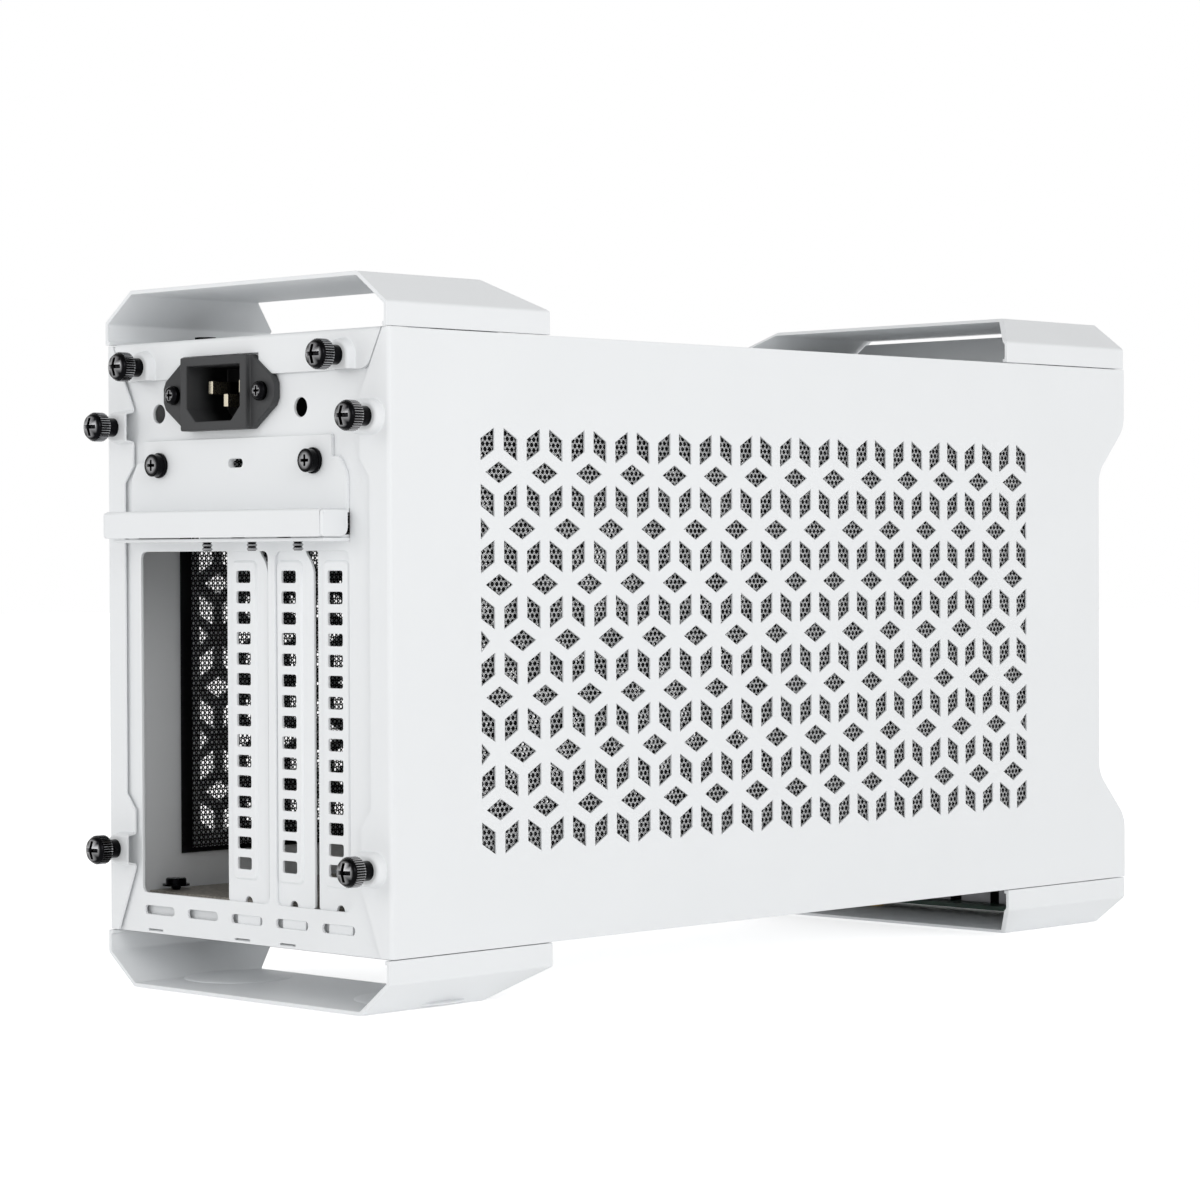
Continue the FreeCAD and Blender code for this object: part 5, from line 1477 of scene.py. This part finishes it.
@dataclass
class Bridge:
    """Handle or foot: a strip folded along the case, with pads pressed into a foot.

    Attributes:
        node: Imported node.
        outer: Bevel of the outer side of a fold, mm.
        inner: Bevel of the inner side of a fold, mm.
        pads: X and Y of the pressed pads, mm.
        pad: Radius and height of a pad, mm.
        seat: Height of a pad's middle over the strip's lowest place, mm.
        ease: Bevel of the cut edges, mm.
        least: Length from which an edge along the case can be a fold, mm.
        slack: How far a fold may stray from its line, mm.
        turns: Angles between which an edge counts as a fold, degrees.
        cut: Angle from which an edge counts as a cut one, degrees.
    """

    node: str
    outer: float = 1.1
    inner: float = 0.5
    pads: tuple[Point, ...] = ()
    pad: Point = (16.5, 1.1)
    seat: float = 1.2
    ease: float = 0.12
    least: float = 12.0
    slack: float = 0.1
    turns: Point = (20.0, 75.0)
    cut: float = 50.0

    def folds(self, bm: BMesh, outside: bool) -> list[BMEdge]:
        """Edges along the case on one side of the folds.

        Args:
            bm: Shape to search.
            outside: True for the outer side.

        Returns:
            The edges.
        """
        found = []
        start, end = self.turns
        for edge in sharp_edges(bm, start):
            span = (edge.verts[1].co - edge.verts[0].co) / MM
            along = abs(span.y) > self.least and max(abs(span.x), abs(span.z)) < self.slack
            if along and edge.calc_face_angle() < math.radians(end) and edge.is_convex == outside:
                found.append(edge)
        return found

    def build(self, shop: Workshop) -> None:
        """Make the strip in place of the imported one."""
        bm = copy_node(self.node)
        for outside, width in ((True, self.outer), (False, self.inner)):
            bevel(bm, self.folds(bm, outside), width * MM, 4)
        soften(bm, self.ease, angle=self.cut)
        radius, rise = self.pad
        low, _ = extent(self.node)
        for x, y in self.pads:
            place = Matrix.Translation(Vector((x, y, low.z + self.seat)) * MM)
            size = Matrix.Diagonal((radius * MM, radius * MM, rise * MM, 1.0))
            bmesh.ops.create_uvsphere(bm, u_segments=48, v_segments=24, radius=1.0, matrix=place @ size)
        bmesh.ops.recalc_face_normals(bm, faces=bm.faces)
        shop.place(f"fold_{self.node}", bm, "white_coat", homes()[self.node], [self.node], smooth=30.0)


# Studio


@dataclass
class Studio:
    """Camera at the photograph's angle, pale floor and soft lamps.

    Attributes:
        eye: Camera's place, metres.
        turn: Camera's heading, as an angle from -Y towards +X, degrees.
        dip: Angle below the horizon, degrees.
        roll: Turn about the view, degrees.
        lens: Focal length, mm.
        sensor: Width of the sensor, mm.
        shift: The lens's shift across and up, as shares of the picture.
        fill: Strength of the surrounding light near the horizon.
        ceiling: Strength of the surrounding light overhead.
        heights: Height of a ray's direction at which the light starts and ends to dim.
        bounce: Light that the floor adds from below.
        glow: Light that the floor adds where the camera sees it.
        size: Half the length of the floor's side, metres.
        drop: Distance of the floor under the case, metres.
        aim: Where the lamps point, metres.
        lamps: Name, place in metres, length of a side in metres and watts of each lamp.
    """

    eye: tuple[float, float, float] = (-0.7946, 0.8331, 0.1298)
    turn: float = 44.24
    dip: float = 0.683
    roll: float = -0.235
    lens: float = 105.48
    sensor: float = 36.0
    shift: Point = (-0.00146, -0.00072)
    fill: float = 1.07
    ceiling: float = 0.42
    heights: Point = (0.1, 0.9)
    bounce: float = 0.2
    glow: float = 0.6
    size: float = 6.0
    drop: float = 0.0002
    aim: tuple[float, float, float] = (0.0, 0.0, 0.1)
    lamps: tuple[tuple[str, tuple[float, float, float], float, float], ...] = (
        ("key", (-1.7, 0.7, 0.8), 0.8, 6.5), ("rear", (0.6, 2.0, 0.7), 0.8, 3.5))

    def camera(self) -> None:
        """Set up the camera."""
        data = bpy.data.cameras.new("camera")
        data.sensor_width = self.sensor
        data.lens = self.lens
        data.shift_x, data.shift_y = self.shift
        data.clip_end = 50.0
        rig = bpy.data.objects.new("camera", data)
        turn, dip = math.radians(self.turn), math.radians(self.dip)
        ahead = Vector((math.sin(turn) * math.cos(dip), -math.cos(turn) * math.cos(dip), -math.sin(dip)))
        level = ahead.to_track_quat("-Z", "Y").to_matrix().to_4x4()
        spin = Matrix.Rotation(math.radians(self.roll), 4, "Z")
        rig.matrix_world = Matrix.Translation(self.eye) @ level @ spin
        bpy.context.scene.collection.objects.link(rig)
        bpy.context.scene.camera = rig

    def surroundings(self) -> None:
        """White to the camera; as a light, bright near the horizon and dim overhead."""
        world = bpy.data.worlds.new("studio")
        world.use_nodes = True
        tree = world.node_tree
        back = tree.nodes["Background"]
        back.inputs["Color"].default_value = (1.0, 1.0, 1.0, 1.0)
        split = tree.nodes.new("ShaderNodeSeparateXYZ")
        tree.links.new(tree.nodes.new("ShaderNodeTexCoord").outputs["Generated"], split.inputs["Vector"])
        fall = tree.nodes.new("ShaderNodeMapRange")
        for key, value in zip(("From Min", "From Max", "To Min", "To Max"),
                              (*self.heights, self.fill, self.ceiling)):
            fall.inputs[key].default_value = value
        tree.links.new(split.outputs["Z"], fall.inputs["Value"])
        path = tree.nodes.new("ShaderNodeLightPath")
        spread = tree.nodes.new("ShaderNodeMapRange")
        spread.inputs["To Max"].default_value = 1.0
        tree.links.new(path.outputs["Is Camera Ray"], spread.inputs["Value"])
        tree.links.new(fall.outputs["Result"], spread.inputs["To Min"])
        tree.links.new(spread.outputs["Result"], back.inputs["Strength"])
        bpy.context.scene.world = world

    def floor(self) -> None:
        """Pale floor that keeps the shadow."""
        shading = Shading("studio_floor")
        shading.blend(shading.noise(400.0), (0.90, 0.90, 0.90), (0.92, 0.92, 0.92))
        shading.surface.inputs["Roughness"].default_value = 0.9
        shading.surface.inputs["Specular IOR Level"].default_value = 0.1
        path = shading.node("ShaderNodeLightPath")
        lift = shading.node("ShaderNodeMapRange", To_Min=self.bounce, To_Max=self.glow)
        shading.join(path.outputs["Is Camera Ray"], lift.inputs["Value"])
        shading.surface.inputs["Emission Color"].default_value = (1.0, 1.0, 1.0, 1.0)
        shading.join(lift.outputs["Result"], shading.surface.inputs["Emission Strength"])
        bm = bmesh.new()
        bmesh.ops.create_grid(bm, x_segments=1, y_segments=1, size=self.size)
        bmesh.ops.translate(bm, vec=(0.0, 0.0, -self.drop), verts=bm.verts)
        mesh = bpy.data.meshes.new("floor")
        bm.to_mesh(mesh)
        bm.free()
        mesh.materials.append(shading.material)
        floor = bpy.data.objects.new("floor", mesh)
        bpy.context.scene.collection.objects.link(floor)

    def lamp(self, name: str, place: tuple[float, float, float], size: float, watts: float) -> None:
        """Square lamp aimed at the case.

        Args:
            name: Its name.
            place: Its place, metres.
            size: Length of a side, metres.
            watts: Its power.
        """
        data = bpy.data.lights.new(name, "AREA")
        data.size = size
        data.energy = watts
        lamp = bpy.data.objects.new(name, data)
        aim = Vector(self.aim) - Vector(place)
        lamp.matrix_world = Matrix.Translation(place) @ aim.to_track_quat("-Z", "Y").to_matrix().to_4x4()
        bpy.context.scene.collection.objects.link(lamp)

    def build(self) -> None:
        """Set up everything around the case."""
        self.camera()
        self.surroundings()
        self.floor()
        for lamp in self.lamps:
            self.lamp(*lamp)
        bpy.context.scene.view_settings.view_transform = "Standard"


def main() -> None:
    """Dress the case piece by piece."""
    logging.basicConfig(level=logging.INFO)
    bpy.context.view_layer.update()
    palette = Palette(FINISHES)
    palette.dress_frame()
    shop = Workshop(palette)
    pieces = [
        *(kind(side) for side in Side for kind in (SidePanel, DustMesh)),
        TopCover(),
        Thumbscrew(),
        PanScrews("slot_screws", UPWARD, 3.1, 2.3, 1.6),
        PanScrews("inlet_screws", REARWARD, 2.9, 1.9, 1.5),
        PanScrews("hood_screws", REARWARD, 3.4, 3.4, 1.6, washer=3.8),
        PanScrews("base_plate_screws", UPWARD, 3.2, 2.4, 1.6, washer=4.2),
        RearPanel(),
        *map(SlotCover, (3, 4, 5)),
        SlotHood(),
        *map(Bridge, ("rear_handle", "front_handle", "front_foot")),
        Bridge("rear_foot", pads=((-39.0, 138.0), (39.0, 138.0))),
        Softened("front_panel", 0.2, lift=1.2),
        Softened("front_frame", 0.2),
        *(Softened(node, 0.15)
          for node in ("bottom_tray", "base_plate", "top_rail_left", "top_rail_right")),
        # Inlet body: painted shade deeper in its socket, painted highlight at the rear face.
        Softened("inlet_body", 0.45, "inlet_plastic", depth=15.0, fade=15.0),
        *(Softened(node, 0.15, "port_shell")
          for node in ("usb_port_left", "usb_port_right", "usb_c_port")),
        # Inlet pins: painted highlight at the tips, painted shade further in.
        Softened("inlet_pins", 0.3, fade=5.0),
        Softened("io_board", 0.1),
    ]
    for piece in pieces:
        piece.build(shop)
    Studio().build()


if __name__ == "__main__":
    main()
